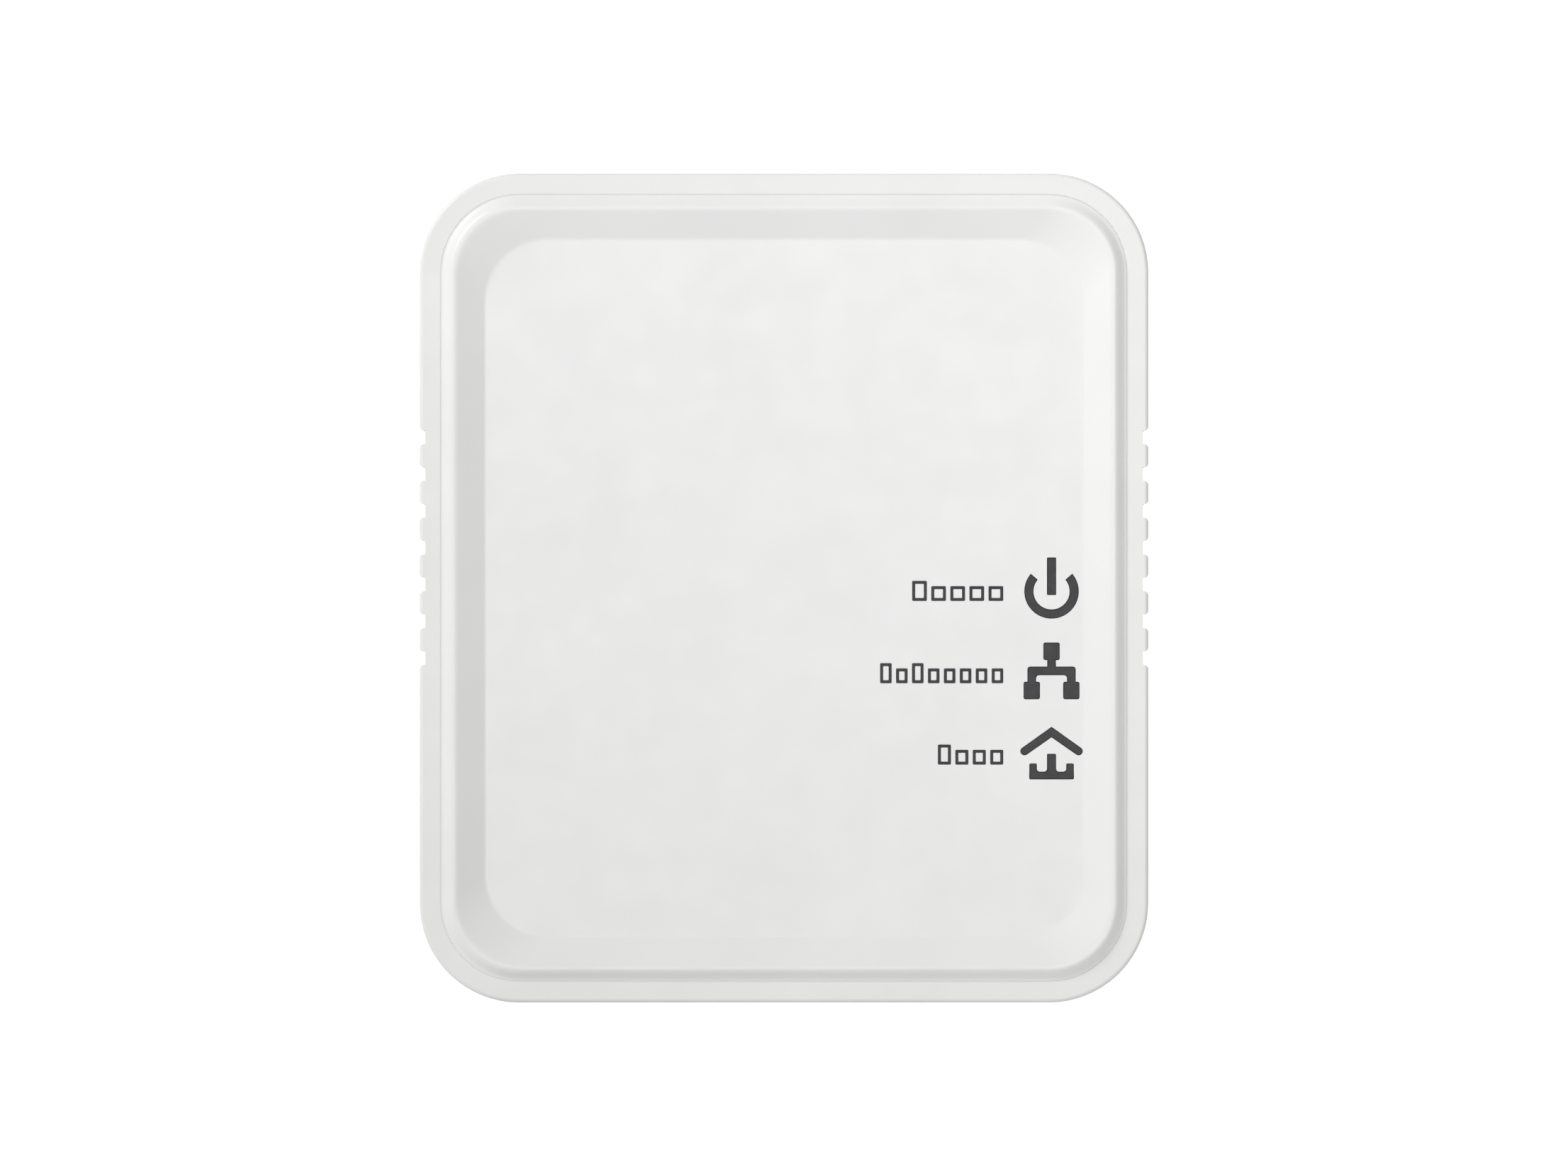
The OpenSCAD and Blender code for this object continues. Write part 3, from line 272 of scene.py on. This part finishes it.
FINISHES = {
    "case_white": moulded("case_white", (0.81, 0.81, 0.80), 0.42, edge=0.04),
    "panel_white": moulded("panel_white", (0.82, 0.82, 0.815), 0.36, grain=0.2, depth=0.002, edge=0.04),
    "button_white": moulded("button_white", (0.78, 0.78, 0.77), 0.38, depth=0.002),
    "smoked_lens": smoked("smoked_lens"),
    "label_grey": moulded("label_grey", (0.62, 0.63, 0.64), 0.5, grain=0.3, depth=0.001, edge=0.02),
    "black_plastic": moulded("black_plastic", (0.018, 0.018, 0.02), 0.42, depth=0.003, mottle=0.1),
    "grey_plastic": moulded("grey_plastic", (0.06, 0.06, 0.063), 0.45, depth=0.003, mottle=0.06),
    "chip_black": chip_body("chip_black", (0.016, 0.016, 0.018)),
    "led_white": glossy_skin("led_white", (0.85, 0.82, 0.6), 0.3, 0.004),
    "board_green": circuit_board("board_green", (0.012, 0.11, 0.045), (0.03, 0.2, 0.08)),
    "insulator": glossy_skin("insulator", (0.7, 0.66, 0.52), 0.3),
    "pad_blue": moulded("pad_blue", (0.25, 0.42, 0.6), 0.7, grain=0.4, depth=0.02, mottle=0.08),
    "screw_steel": metal("screw_steel", (0.62, 0.62, 0.64), 0.3),
    "can_metal": metal("can_metal", (0.7, 0.7, 0.7), 0.25, (0.1, 1.0, 1.0)),
    "shield_metal": metal("shield_metal", (0.66, 0.66, 0.66), 0.26, (1.0, 1.0, 0.08)),
    "aluminium": metal("aluminium", (0.74, 0.75, 0.76), 0.38),
    "nickel_brass": metal("nickel_brass", (0.74, 0.72, 0.68), 0.2, (1.0, 0.06, 1.0)),
    "gold_contact": metal("gold_contact", (0.86, 0.62, 0.24), 0.18, (1.0, 1.0, 0.1)),
    "tin_lead": metal("tin_lead", (0.66, 0.66, 0.65), 0.32),
    "copper_wire": metal("copper_wire", (0.72, 0.3, 0.12), 0.25),
    "ferrite": ferrite("ferrite", (0.035, 0.035, 0.038)),
    "tape_yellow": wound("tape_yellow", (0.72, 0.5, 0.05), 1.1, "Y"),
    "fuse_brown": glossy_skin("fuse_brown", (0.09, 0.035, 0.012)),
    "disc_blue": glossy_skin("disc_blue", (0.02, 0.09, 0.32), 0.25, 0.03),
    "film_yellow": glossy_skin("film_yellow", (0.7, 0.48, 0.06)),
    "can_sleeve": glossy_skin("can_sleeve", (0.01, 0.014, 0.05)),
    "can_sleeve_green": glossy_skin("can_sleeve_green", (0.008, 0.05, 0.025)),
    "wire_brown": glossy_skin("wire_brown", (0.12, 0.045, 0.015), 0.3),
    "wire_blue": glossy_skin("wire_blue", (0.015, 0.08, 0.42), 0.3),
}
# Painted light: the white case and panel are darker towards the lower left and paler towards the upper
# right, a falloff of light painted into their base colour.
for name in ("case_white", "panel_white"):
    FINISHES[name].paint_light_gradient((1, 0, 1), 0.905, 1.1)


def dress_frame():
    """Gives each CAD node its finish, and smooths the nodes whose curves are made of flat facets."""
    for part in frame["record"]["subparts"]:
        node = nodes[part["node"]]
        finish = FINISHES[part["material_slot"]].material
        for slot in node.material_slots:
            slot.material = finish
    for name in ("front_panel", "rear_shell"):
        node = nodes[name]
        weld = node.modifiers.new("weld", "WELD")
        weld.merge_threshold = 0.002 * MM
        smooth(node)
        weighted = node.modifiers.new("weighted", "WEIGHTED_NORMAL")
        weighted.keep_sharp = True
        weighted.mode = "FACE_AREA"
        weighted.weight = 50


def smooth(obj):
    """Shades an object smooth, except across its sharp edges."""
    name = "smooth_by_angle"
    group = bpy.data.node_groups.get(name) or smooth_by_angle(name, math.radians(SMOOTH_BELOW))
    obj.modifiers.new("smooth", "NODES").node_group = group


def smooth_by_angle(name, angle):
    """The nodes of the smoothing: an edge that folds by more than the angle stays sharp."""
    group = bpy.data.node_groups.new(name, "GeometryNodeTree")
    group.interface.new_socket("Geometry", in_out="INPUT", socket_type="NodeSocketGeometry")
    group.interface.new_socket("Geometry", in_out="OUTPUT", socket_type="NodeSocketGeometry")
    made = group.nodes.new
    start, end = made("NodeGroupInput"), made("NodeGroupOutput")
    drop = made("GeometryNodeRemoveAttribute")
    drop.inputs["Name"].default_value = "custom_normal"
    fold = made("GeometryNodeInputMeshEdgeAngle")
    sharp = made("FunctionNodeCompare")
    sharp.operation = "LESS_THAN"
    sharp.inputs["B"].default_value = angle
    faces = made("GeometryNodeSetShadeSmooth")
    edges = made("GeometryNodeSetShadeSmooth")
    edges.domain = "EDGE"
    link = group.links.new
    link(start.outputs["Geometry"], drop.inputs["Geometry"])
    link(drop.outputs["Geometry"], faces.inputs["Geometry"])
    link(faces.outputs["Geometry"], edges.inputs["Geometry"])
    link(fold.outputs["Unsigned Angle"], sharp.inputs["A"])
    link(sharp.outputs["Result"], edges.inputs["Shade Smooth"])
    link(edges.outputs["Geometry"], end.inputs["Geometry"])
    return group


dress_frame()


# ---------- shapes in millimetres ----------

def rounded_outline(x, z, width, height, r, steps=5):
    """The corners of a rounded rectangle about (x, z), counterclockwise seen from the front."""
    outline = []
    for turn, (sx, sz) in enumerate(((1, 1), (-1, 1), (-1, -1), (1, -1))):
        for step in range(steps + 1):
            angle = math.radians(90 * turn + 90 * step / steps)
            outline.append((
                x + sx * (width / 2 - r) + r * math.cos(angle),
                z + sz * (height / 2 - r) + r * math.sin(angle),
            ))
    return outline


def spline(points):
    """A smooth path through the points, as a Catmull-Rom spline."""
    spots = [Vector(p) for p in points]
    spots = [2 * spots[0] - spots[1]] + spots + [2 * spots[-1] - spots[-2]]
    path = []
    for a, b, c, d in zip(spots, spots[1:], spots[2:], spots[3:]):
        for step in range(SPLINE_STEPS):
            t = step / SPLINE_STEPS
            bend, twist = 2 * a - 5 * b + 4 * c - d, 3 * b - a - 3 * c + d
            path.append((2 * b + (c - a) * t + bend * t ** 2 + twist * t ** 3) / 2)
    path.append(spots[-2])
    return path


class Shape:
    """Gathers solids, in millimetres in the row frame, into one piece."""

    def __init__(self):
        self.made = bmesh.new()

    def block(self, low, high, bevel=0.0):
        low, high = Vector(low), Vector(high)
        size = high - low
        matrix = Matrix.Translation((low + high) / 2) @ Matrix.Diagonal((*size, 1))
        corners = bmesh.ops.create_cube(self.made, size=1, matrix=matrix)["verts"]
        if bevel:
            edges = list({e for v in corners for e in v.link_edges})
            bmesh.ops.bevel(self.made, geom=edges, offset=bevel, segments=2, profile=0.5, affect="EDGES")

    def cone(self, start, end, r_start, r_end):
        start, end = Vector(start), Vector(end)
        turn = (end - start).to_track_quat("Z", "Y").to_matrix().to_4x4()
        bmesh.ops.create_cone(
            self.made, cap_ends=True, segments=CONE_SIDES, radius1=r_start, radius2=r_end,
            depth=(end - start).length, matrix=Matrix.Translation((start + end) / 2) @ turn,
        )

    def tube(self, path, radius, sides):
        """A round tube along a path, its rings carried along without twisting."""
        turns = [2 * math.pi * k / sides for k in range(sides)]
        across = (path[1] - path[0]).orthogonal()
        rings = []
        for i, spot in enumerate(path):
            ahead = (path[min(i + 1, len(path) - 1)] - path[max(i - 1, 0)]).normalized()
            across = (across - ahead * across.dot(ahead)).normalized()
            over = ahead.cross(across)
            ring = [spot + radius * (math.cos(a) * across + math.sin(a) * over) for a in turns]
            rings.append([self.made.verts.new(v) for v in ring])
        for low, high in zip(rings, rings[1:]):
            for j in range(sides):
                k = (j + 1) % sides
                self.made.faces.new((low[j], low[k], high[k], high[j]))
        self.made.faces.new(rings[0][::-1])
        self.made.faces.new(rings[-1])

    def plate(self, outline, y_front, y_back):
        """The outline as a plate between two depths."""
        front = [self.made.verts.new((x, y_front, z)) for x, z in outline]
        back = [self.made.verts.new((x, y_back, z)) for x, z in outline]
        self.made.faces.new(front)
        self.made.faces.new(back[::-1])
        for j in range(len(outline)):
            k = (j + 1) % len(outline)
            self.made.faces.new((front[k], front[j], back[j], back[k]))

    def border(self, outer, inner, y_front, y_back):
        """A flat ring between two outlines that have the same number of corners."""
        rings = [
            [self.made.verts.new((x, y, z)) for x, z in outline]
            for outline, y in ((outer, y_front), (inner, y_front), (inner, y_back), (outer, y_back))
        ]
        for ring, following in zip(rings, rings[1:] + rings[:1]):
            for j in range(len(outer)):
                k = (j + 1) % len(outer)
                self.made.faces.new((ring[j], ring[k], following[k], following[j]))

    def piece(self, name, finish, body=ROOT, stands_for=()):
        """Makes the piece on a body, and puts its finish, from the record's finishes or the script's own,
        in its material slot.
        """
        bmesh.ops.recalc_face_normals(self.made, faces=self.made.faces)
        bmesh.ops.scale(self.made, vec=(MM, MM, MM), verts=self.made.verts)
        mesh = bpy.data.meshes.new(name)
        self.made.to_mesh(mesh)
        self.made.free()
        made = place(bpy.data.objects.new(name, mesh))
        mesh.materials.append((FINISHES.get(finish) or OWN_FINISHES[finish]).material)
        smooth(made)
        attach(made, body)
        if stands_for:
            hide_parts(*stands_for)
        return made


def place(obj):
    bpy.context.scene.collection.objects.link(obj)
    return obj


def box_mm(node):
    low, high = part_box(node)
    return low / MM, high / MM


def islands(node):
    """The box of each separate solid of a CAD node, in millimetres."""
    made = bmesh.new()
    made.from_mesh(nodes[node].data)
    bmesh.ops.remove_doubles(made, verts=made.verts, dist=0.001 * MM)
    left = set(made.verts)
    boxes = []
    while left:
        reached = [left.pop()]
        for vert in reached:
            for edge in vert.link_edges:
                other = edge.other_vert(vert)
                if other in left:
                    left.remove(other)
                    reached.append(other)
        low = Vector([min(v.co[i] for v in reached) for i in range(3)]) / MM
        high = Vector([max(v.co[i] for v in reached) for i in range(3)]) / MM
        boxes.append((low, high))
    made.free()
    return sorted(boxes, key=lambda b: (round(b[0].x, 3), round(b[0].z, 3), round(b[0].y, 3)))


# ---------- printed marks ----------

def ink(name, colour, roughness, mottle):
    return moulded(name, colour, roughness, grain=0.08, depth=0.0005, edge=0.0, mottle=mottle)


# Finishes that the record doesn't list
OWN_FINISHES = {
    "ink_dark": ink("ink_dark", (0.022, 0.023, 0.026), 0.5, 0.12),
    "ink_grey": ink("ink_grey", (0.16, 0.165, 0.17), 0.55, 0.1),
    "seam_white": moulded("seam_white", (0.81, 0.81, 0.80), 0.42, edge=0.0),
    "ink_white": ink("ink_white", (0.7, 0.71, 0.69), 0.6, 0.05),
}
INK_T = 0.015


def print_word(name, base, length, count, tall):
    """Empty boxes in place of a printed word's letters, the tall ones as listed."""
    right = 17.45
    gap, line = 0.35, 0.24
    tall_h, low_h = 1.6, 1.18
    lens_inset = 0.05
    width = (length - gap * (count - 1)) / count
    face = box_mm("power_icon_lens")[0].y - lens_inset
    word = Shape()
    for i in range(count):
        height = tall_h if i in tall else low_h
        x = right - length + width / 2 + i * (width + gap)
        outer = rounded_outline(x, base + height / 2, width, height, 0.08, 2)
        inner = rounded_outline(x, base + height / 2, width - 2 * line, height - 2 * line, 0.04, 2)
        word.border(outer, inner, face - INK_T, face)
    word.piece(name, "ink_dark")


print_word("power_print", -1.03, 7.25, 5, (0,))
print_word("network_print", -7.58, 9.8, 8, (0, 2))
print_word("home_print", -14.06, 5.2, 4, (0,))


def print_label():
    """A border, blank ruled lines and an empty field on the rating label."""
    line_ends = ((-14.6, 3.5), (-14.6, -1.0), (-14.6, 1.8), (-14.6, -4.0))
    line_pitch, line_t = 2.6, 0.5
    field_x = -10.2
    low, high = box_mm("rating_label")
    x, z = (low.x + high.x) / 2, (low.z + high.z) / 2
    width, height = high.x - low.x, high.z - low.z
    label = Shape()
    outer = rounded_outline(x, z, width - 1.2, height - 1.2, 0.7)
    inner = rounded_outline(x, z, width - 1.6, height - 1.6, 0.5)
    label.border(outer, inner, high.y, high.y + INK_T)
    for row, (start, end) in enumerate(line_ends):
        line_z = z + 3.9 - line_pitch * row
        line = rounded_outline((start + end) / 2, line_z, end - start, line_t, 0.2, 3)
        label.plate([(-px, pz) for px, pz in line[::-1]], high.y, high.y + INK_T)
    field_outer = rounded_outline(field_x, z, 8.6, 8.2, 0.4)
    field_inner = rounded_outline(field_x, z, 8.3, 7.9, 0.3)
    label.border(field_outer, field_inner, high.y, high.y + INK_T)
    label.piece("label_print", "ink_grey")


print_label()


# ---------- port, button and wires ----------

def make_contacts():
    """The port's eight spring contacts, each folded at the mouth and bowed up into the cavity."""
    low, high = box_mm("jack_contacts")
    count, r, side = 8, 0.2, 0.22
    springs = Shape()
    for i in range(count):
        x = low.x + side + i * (high.x - low.x - 2 * side) / (count - 1)
        sag = 0.05 * (i % 2)
        springs.tube(spline([
            (x, high.y - 0.28, low.z + 2.4),
            (x, high.y - 0.23, low.z + 0.9),
            (x, high.y - 0.4, low.z + 0.35),
            (x, high.y - 0.75, low.z + 0.42),
            (x, high.y - 1.2, low.z + 2.2),
            (x, low.y + 0.25 + sag, low.z + 6.5),
            (x, low.y + 0.3 + sag, low.z + 9.5),
            (x, low.y + 0.34, high.z - 2.5),
            (x, low.y + 0.4, high.z - 0.3),
        ]), r, 10)
    springs.piece("jack_springs", "gold_contact", stands_for=("jack_contacts",))


def make_leads():
    """Soft mains wires from the pins' tails to the power board, with their crimps, bare ends and solder."""
    wire_r, crimp_r, bare_r, solder_r = 0.8, 0.95, 0.45, 1.15
    drop = -2
    tips = Shape()
    for name, finish, bow in (("live_wire", "wire_brown", 0.5), ("neutral_wire", "wire_blue", -0.4)):
        low, high = box_mm(name)
        x = (low.x + high.x) / 2
        pin, board = high.y, low.y
        lead = Shape()
        lead.tube(spline([
            (x, pin - 1.5, 0),
            (x, pin - 2.6, 0),
            (x + bow, pin - 4.4, 0.45 * drop),
            (x + bow * 0.6, pin - 6.2, 0.85 * drop),
            (x, board + 3.2, drop),
            (x, board + 2.6, drop),
        ]), wire_r, 18)
        lead.piece(name.replace("wire", "lead"), finish, stands_for=(name,))
        tips.cone((x, pin - 0.05, 0), (x, pin - 1.3, 0), crimp_r, crimp_r)
        tips.cone((x, pin - 1.3, 0), (x, pin - 1.7, 0), crimp_r, 0.82)
        tips.cone((x, board + 2.75, drop), (x, board, drop), bare_r, bare_r)
        tips.cone((x, board + 0.8, drop), (x, board + 0.05, drop), solder_r, 0.5)
    tips.piece("lead_tips", "tin_lead")


def make_button_rim():
    """A fine raised rim round the pair button's face."""
    low, high = box_mm("pair_button")
    x, y = (low.x + high.x) / 2, (low.y + high.y) / 2
    half_straight, end_r, rim_r = 2.2, 1.25, 0.09
    steps = 20
    path = []
    for end in (1, -1):
        for step in range(steps + 1):
            angle = math.radians(-90 + 180 * step / steps)
            out = half_straight + end_r * math.cos(angle)
            path.append(Vector((x + end * out, y + end * end_r * math.sin(angle), low.z + 0.02)))
    path += [path[0], path[1]]
    rim = Shape()
    rim.tube(path, rim_r, 8)
    rim.piece("pair_button_rim", "button_white", body="pair_button")


def make_seam_bead():
    """Fills the gap between the rim and the front panel almost level with the rim."""
    case_low, case_high = box_mm("front_shell")
    panel_low, panel_high = box_mm("front_panel")
    width, height = case_high.x - case_low.x, case_high.z - case_low.z
    panel_inset = (width - (panel_high.x - panel_low.x)) / 2
    case_corner = 7.9
    outer, inner = [
        rounded_outline(0, 0, width - 2 * inset, height - 2 * inset, case_corner - inset, 24)
        for inset in (panel_inset - 0.055, panel_inset - 0.005)
    ]
    bead = Shape()
    bead.border(outer, inner, case_low.y + 0.01, case_low.y + 0.9)
    bead.piece("seam_bead", "seam_white")


make_contacts()
make_leads()
make_button_rim()
make_seam_bead()


# ---------- boards ----------

def on_board(face, out, low, high):
    """A box whose third numbers are heights above a board's face, as corners in the row frame."""
    a, b = face + out * low[2], face + out * high[2]
    return (low[0], min(a, b), low[1]), (high[0], max(a, b), high[1])


def scatter(face, out, zones, blocked, count, seed):
    """Chip resistors and capacitors in short rows, clear of the blocked areas. Zones are x and z ranges."""
    tries, clear, between, cap_share, lift = 4000, 0.6, 0.45, 0.22, 0.02
    chance = random.Random(seed)
    taken = [(x0 - 0.5, x1 + 0.5, z0 - 0.5, z1 + 0.5) for x0, x1, z0, z1 in blocked]
    bodies = {"chip_black": Shape(), "film_yellow": Shape()}
    ends = Shape()
    placed = 0
    for _ in range(tries):
        if placed >= count:
            break
        x0, x1, z0, z1 = chance.choice(zones)
        x, z = chance.uniform(x0, x1), chance.uniform(z0, z1)
        long, wide = chance.choice(((1.0, 0.5), (1.6, 0.8)))
        upright = chance.random() < 0.5
        finish = chance.choice(("chip_black", "film_yellow"))
        tall = long * (0.34 if finish == "chip_black" else 0.5)
        run = chance.randint(2, 5)
        w, h = (wide, long) if upright else (long, wide)
        step = wide + between
        reach = step * (run - 1)
        room = (x, x + w + (reach if upright else 0), z, z + h + (0 if upright else reach))
        if room[1] > x1 or room[3] > z1:
            continue
        if any(room[0] < b[1] and b[0] < room[1] and room[2] < b[3] and b[2] < room[3] for b in taken):
            continue
        taken.append((room[0] - clear, room[1] + clear, room[2] - clear, room[3] + clear))
        for i in range(run):
            px, pz = (x + i * step, z) if upright else (x, z + i * step)
            cut = cap_share * long
            cut_x, cut_z = (0, cut) if upright else (cut, 0)
            near_end = (px + w, pz + cut) if upright else (px + cut, pz + h)
            far_start = (px, pz + h - cut) if upright else (px + w - cut, pz)
            body = (px + cut_x, pz + cut_z, lift), (px + w - cut_x, pz + h - cut_z, tall)
            bodies[finish].block(*on_board(face, out, *body))
            for low, high in (((px, pz), near_end), (far_start, (px + w, pz + h))):
                ends.block(*on_board(face, out, (*low, 0), (*high, tall + lift)), bevel=0.05)
        placed += run
    return bodies["chip_black"], bodies["film_yellow"], ends


def footprints(names, margin=0.3):
    """The x and z ranges that CAD nodes take on a board."""
    found = []
    for name in names:
        low, high = box_mm(name)
        found.append((low.x - margin, high.x + margin, low.z - margin, high.z + margin))
    return found


def silkscreen(name, face, out, areas):
    """White printed outlines round the given areas of a board."""
    lines = Shape()
    for x0, x1, z0, z1 in areas:
        x, z, w, h = (x0 + x1) / 2, (z0 + z1) / 2, x1 - x0, z1 - z0
        outer = rounded_outline(x, z, w + 0.3, h + 0.3, 0.3, 2)
        inner = rounded_outline(x, z, w, h, 0.2, 2)
        lines.border(outer, inner, face, face + out * INK_T)
    lines.piece(name, "ink_white")


main_low, main_high = box_mm("main_board")
power_low, power_high = box_mm("power_board")

MAIN_FRONT_CHIPS = ("memory_chip", "flash_chip", "phy_chip", "crystal", "light_baffle")
MAIN_FRONT = ("plc_chip", "heat_spreader") + MAIN_FRONT_CHIPS
MAIN_BACK = (
    "lan_transformer", "jack_shield", "pair_switch", "reset_switch", "header_spacers",
    "insulation_sheet",
)
POWER_FRONT = (
    "fuse", "varistor", "x_capacitor", "choke_windings", "bridge_rectifier", "bulk_capacitors",
    "filter_inductor", "transformer_bobbin", "power_controller", "y_capacitor", "optocoupler",
    "coupling_transformer", "coupling_capacitor", "output_diode", "output_capacitors",
)


def populate(name, face, out, zones, blocked, count, seed):
    """Scatters small chips over one side of a board, as three pieces."""
    dark, pale, ends = scatter(face, out, zones, blocked, count, seed)
    dark.piece(name + "_resistors", "chip_black")
    pale.piece(name + "_capacitors", "film_yellow")
    ends.piece(name + "_chip_ends", "tin_lead")


front_zones = ((-22, -15.8, -22, 22), (-15, 16, -4.2, 0.4), (-15, 16, -27.5, -12), (-14, 6, 24, 28))
populate("main_front", main_low.y, -1, front_zones, footprints(MAIN_FRONT), 90, 3)
back_zones = ((-22, -18, -28, -13), (-14, 2, -14, -11.5), (18, 22, -20, -12))
populate("main_back", main_high.y, 1, back_zones, footprints(MAIN_BACK), 24, 5)
silkscreen("main_front_print", main_low.y, -1, footprints(MAIN_FRONT_CHIPS))
silkscreen("power_front_print", power_low.y, -1, footprints(POWER_FRONT, 0.15))


def solder_leads():
    """A solder cone round each lead through the back of the power board. Returns the areas they take."""
    foot_t, foot_w, tip_w, keep_out = 0.12, 0.5, 0.08, 0.6
    joints = Shape()
    places = []
    for low, high in islands("power_board_leads"):
        x, z = (low.x + high.x) / 2, (low.z + high.z) / 2
        reach = min(0.55, (high.y - power_high.y) * 0.8)
        if reach < 0.1:
            continue
        r = min(high.x - low.x, high.z - low.z) / 2
        board, foot, tip = [(x, power_high.y + rise, z) for rise in (0, foot_t, reach)]
        joints.cone(board, foot, r + foot_w + 0.05, r + foot_w)
        joints.cone(foot, tip, r + foot_w, r + tip_w)
        room = r + keep_out
        places.append((x - room, x + room, z - room, z + room))
    joints.piece("power_board_solder", "tin_lead")
    return places


power_joints = solder_leads()
power_zones = ((-12, 8, 10, 17), (2, 12, 20, 25), (-20, -6, -1, 10))
populate("power_back", power_high.y, 1, power_zones, power_joints, 30, 11)


def mark_parts():
    """Dots at the chips' first pins, and stripes and vent scores on the electrolytic capacitors."""
    dot_radii = {
        "phy_chip": 0.28, "memory_chip": 0.4, "flash_chip": 0.35, "power_controller": 0.4,
        "optocoupler": 0.4,
    }
    shortest_can = 5
    dots = Shape()
    for name, r in dot_radii.items():
        low, high = box_mm(name)
        x, z = low.x + 0.28 * (high.x - low.x), high.z - 0.2 * (high.z - low.z)
        dots.cone((x, low.y + 0.05, z), (x, low.y - INK_T, z), r, r * 0.9)
    dots.piece("chip_dots", "grey_plastic")
    stripes, scores = Shape(), Shape()
    for name in ("bulk_capacitors", "output_capacitors"):
        for low, high in islands(name):
            x, z, r = (low.x + high.x) / 2, (low.z + high.z) / 2, (high.x - low.x) / 2
            if high.y - low.y < shortest_can:
                continue
            angles = [math.radians(60 + 4 * k) for k in range(9)]
            outer, inner = [
                [(x + across * math.cos(a), z + across * math.sin(a)) for a in angles]
                for across in (r + 0.03, r - 0.15)
            ]
            stripes.plate(outer + inner[::-1], low.y + 1.2, high.y - 2)
            top = low.y + 0.01
            for turn in (30, 150, 270):
                a = math.radians(turn)
                tip = Vector((x + 0.62 * r * math.cos(a), top, z + 0.62 * r * math.sin(a)))
                scores.tube([Vector((x, top, z)), tip], 0.06, 6)
    stripes.piece("capacitor_stripes", "ink_white")
    scores.piece("capacitor_scores", "can_metal")


mark_parts()


# ---------- stage, light and camera ----------

def camera_rays(tree, seen, lit):
    """A strength that is seen for camera rays and lit for all others."""
    path = tree.nodes.new("ShaderNodeLightPath")
    choose = tree.nodes.new("ShaderNodeMapRange")
    choose.inputs["To Min"].default_value = lit
    choose.inputs["To Max"].default_value = seen
    tree.links.new(path.outputs["Is Camera Ray"], choose.inputs["Value"])
    return choose.outputs["Result"]


def make_floor(z):
    """A wide pale floor that melts into the white background. From below it is clear."""
    mesh = bpy.data.meshes.new("floor")
    made = bmesh.new()
    bmesh.ops.create_circle(made, cap_ends=True, segments=96, radius=12)
    bmesh.ops.translate(made, vec=(0, 0, z), verts=made.verts)
    made.to_mesh(mesh)
    made.free()
    floor = place(bpy.data.objects.new("floor", mesh))
    finish = Finish("floor", (0.36, 0.36, 0.36), 0.9)
    finish.set("Emission Color", (1, 1, 1, 1))
    finish.set("Specular IOR Level", 0.0)
    finish.link(camera_rays(finish.tree, 0.9, 0.41), finish.surface.inputs["Emission Strength"])
    finish.vary_colour(60, 0.01)
    side = finish.node("ShaderNodeNewGeometry").outputs["Backfacing"]
    mixed = finish.node("ShaderNodeMixShader")
    finish.link(side, mixed.inputs["Fac"])
    finish.link(finish.surface.outputs["BSDF"], mixed.inputs[1])
    finish.link(finish.node("ShaderNodeBsdfTransparent").outputs["BSDF"], mixed.inputs[2])
    finish.link(mixed.outputs["Shader"], finish.output.inputs["Surface"])
    mesh.materials.append(finish.material)


def make_world():
    """A white surround, brighter to the camera than the light it sheds."""
    world = bpy.data.worlds.new("studio")
    bpy.context.scene.world = world
    world.use_nodes = True
    tree = world.node_tree
    background = next(n for n in tree.nodes if n.type == "BACKGROUND")
    background.inputs["Color"].default_value = (1, 1, 1, 1)
    tree.links.new(camera_rays(tree, 1.1, 0.42), background.inputs["Strength"])


def make_light(name, position, size, power):
    """A round lamp aimed at the origin. Positions and sizes are in metres, and powers in watts."""
    data = bpy.data.lights.new(name, "AREA")
    data.shape = "DISK"
    data.size = size
    data.energy = power
    light = place(bpy.data.objects.new(name, data))
    light.location = position
    light.rotation_euler = (-Vector(position)).to_track_quat("-Z", "Y").to_euler()


def make_camera():
    """A long lens straight in front, framed so that the case is as large as in the photograph."""
    low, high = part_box("front_shell")
    width_share = 0.4647
    distance = 4.0
    data = bpy.data.cameras.new("camera")
    data.sensor_width = 36
    data.lens = data.sensor_width * distance / ((high.x - low.x) / width_share)
    data.clip_start = 0.1
    data.clip_end = 60
    camera = place(bpy.data.objects.new("camera", data))
    camera.location = (0, low.y - distance, 0)
    camera.rotation_euler = (math.radians(90), 0, 0)
    bpy.context.scene.camera = camera


make_floor(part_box("front_shell")[0].z - 0.02 * MM)
make_world()
make_light("key", (-0.9, -0.8, 0.8), 0.6, 10.4)
make_light("front", (0, -2, 0.1), 0.8, 7)
make_light("behind", (-0.5, 1.3, 0.6), 1.6, 14)
make_camera()
bpy.context.scene.view_settings.view_transform = "Standard"
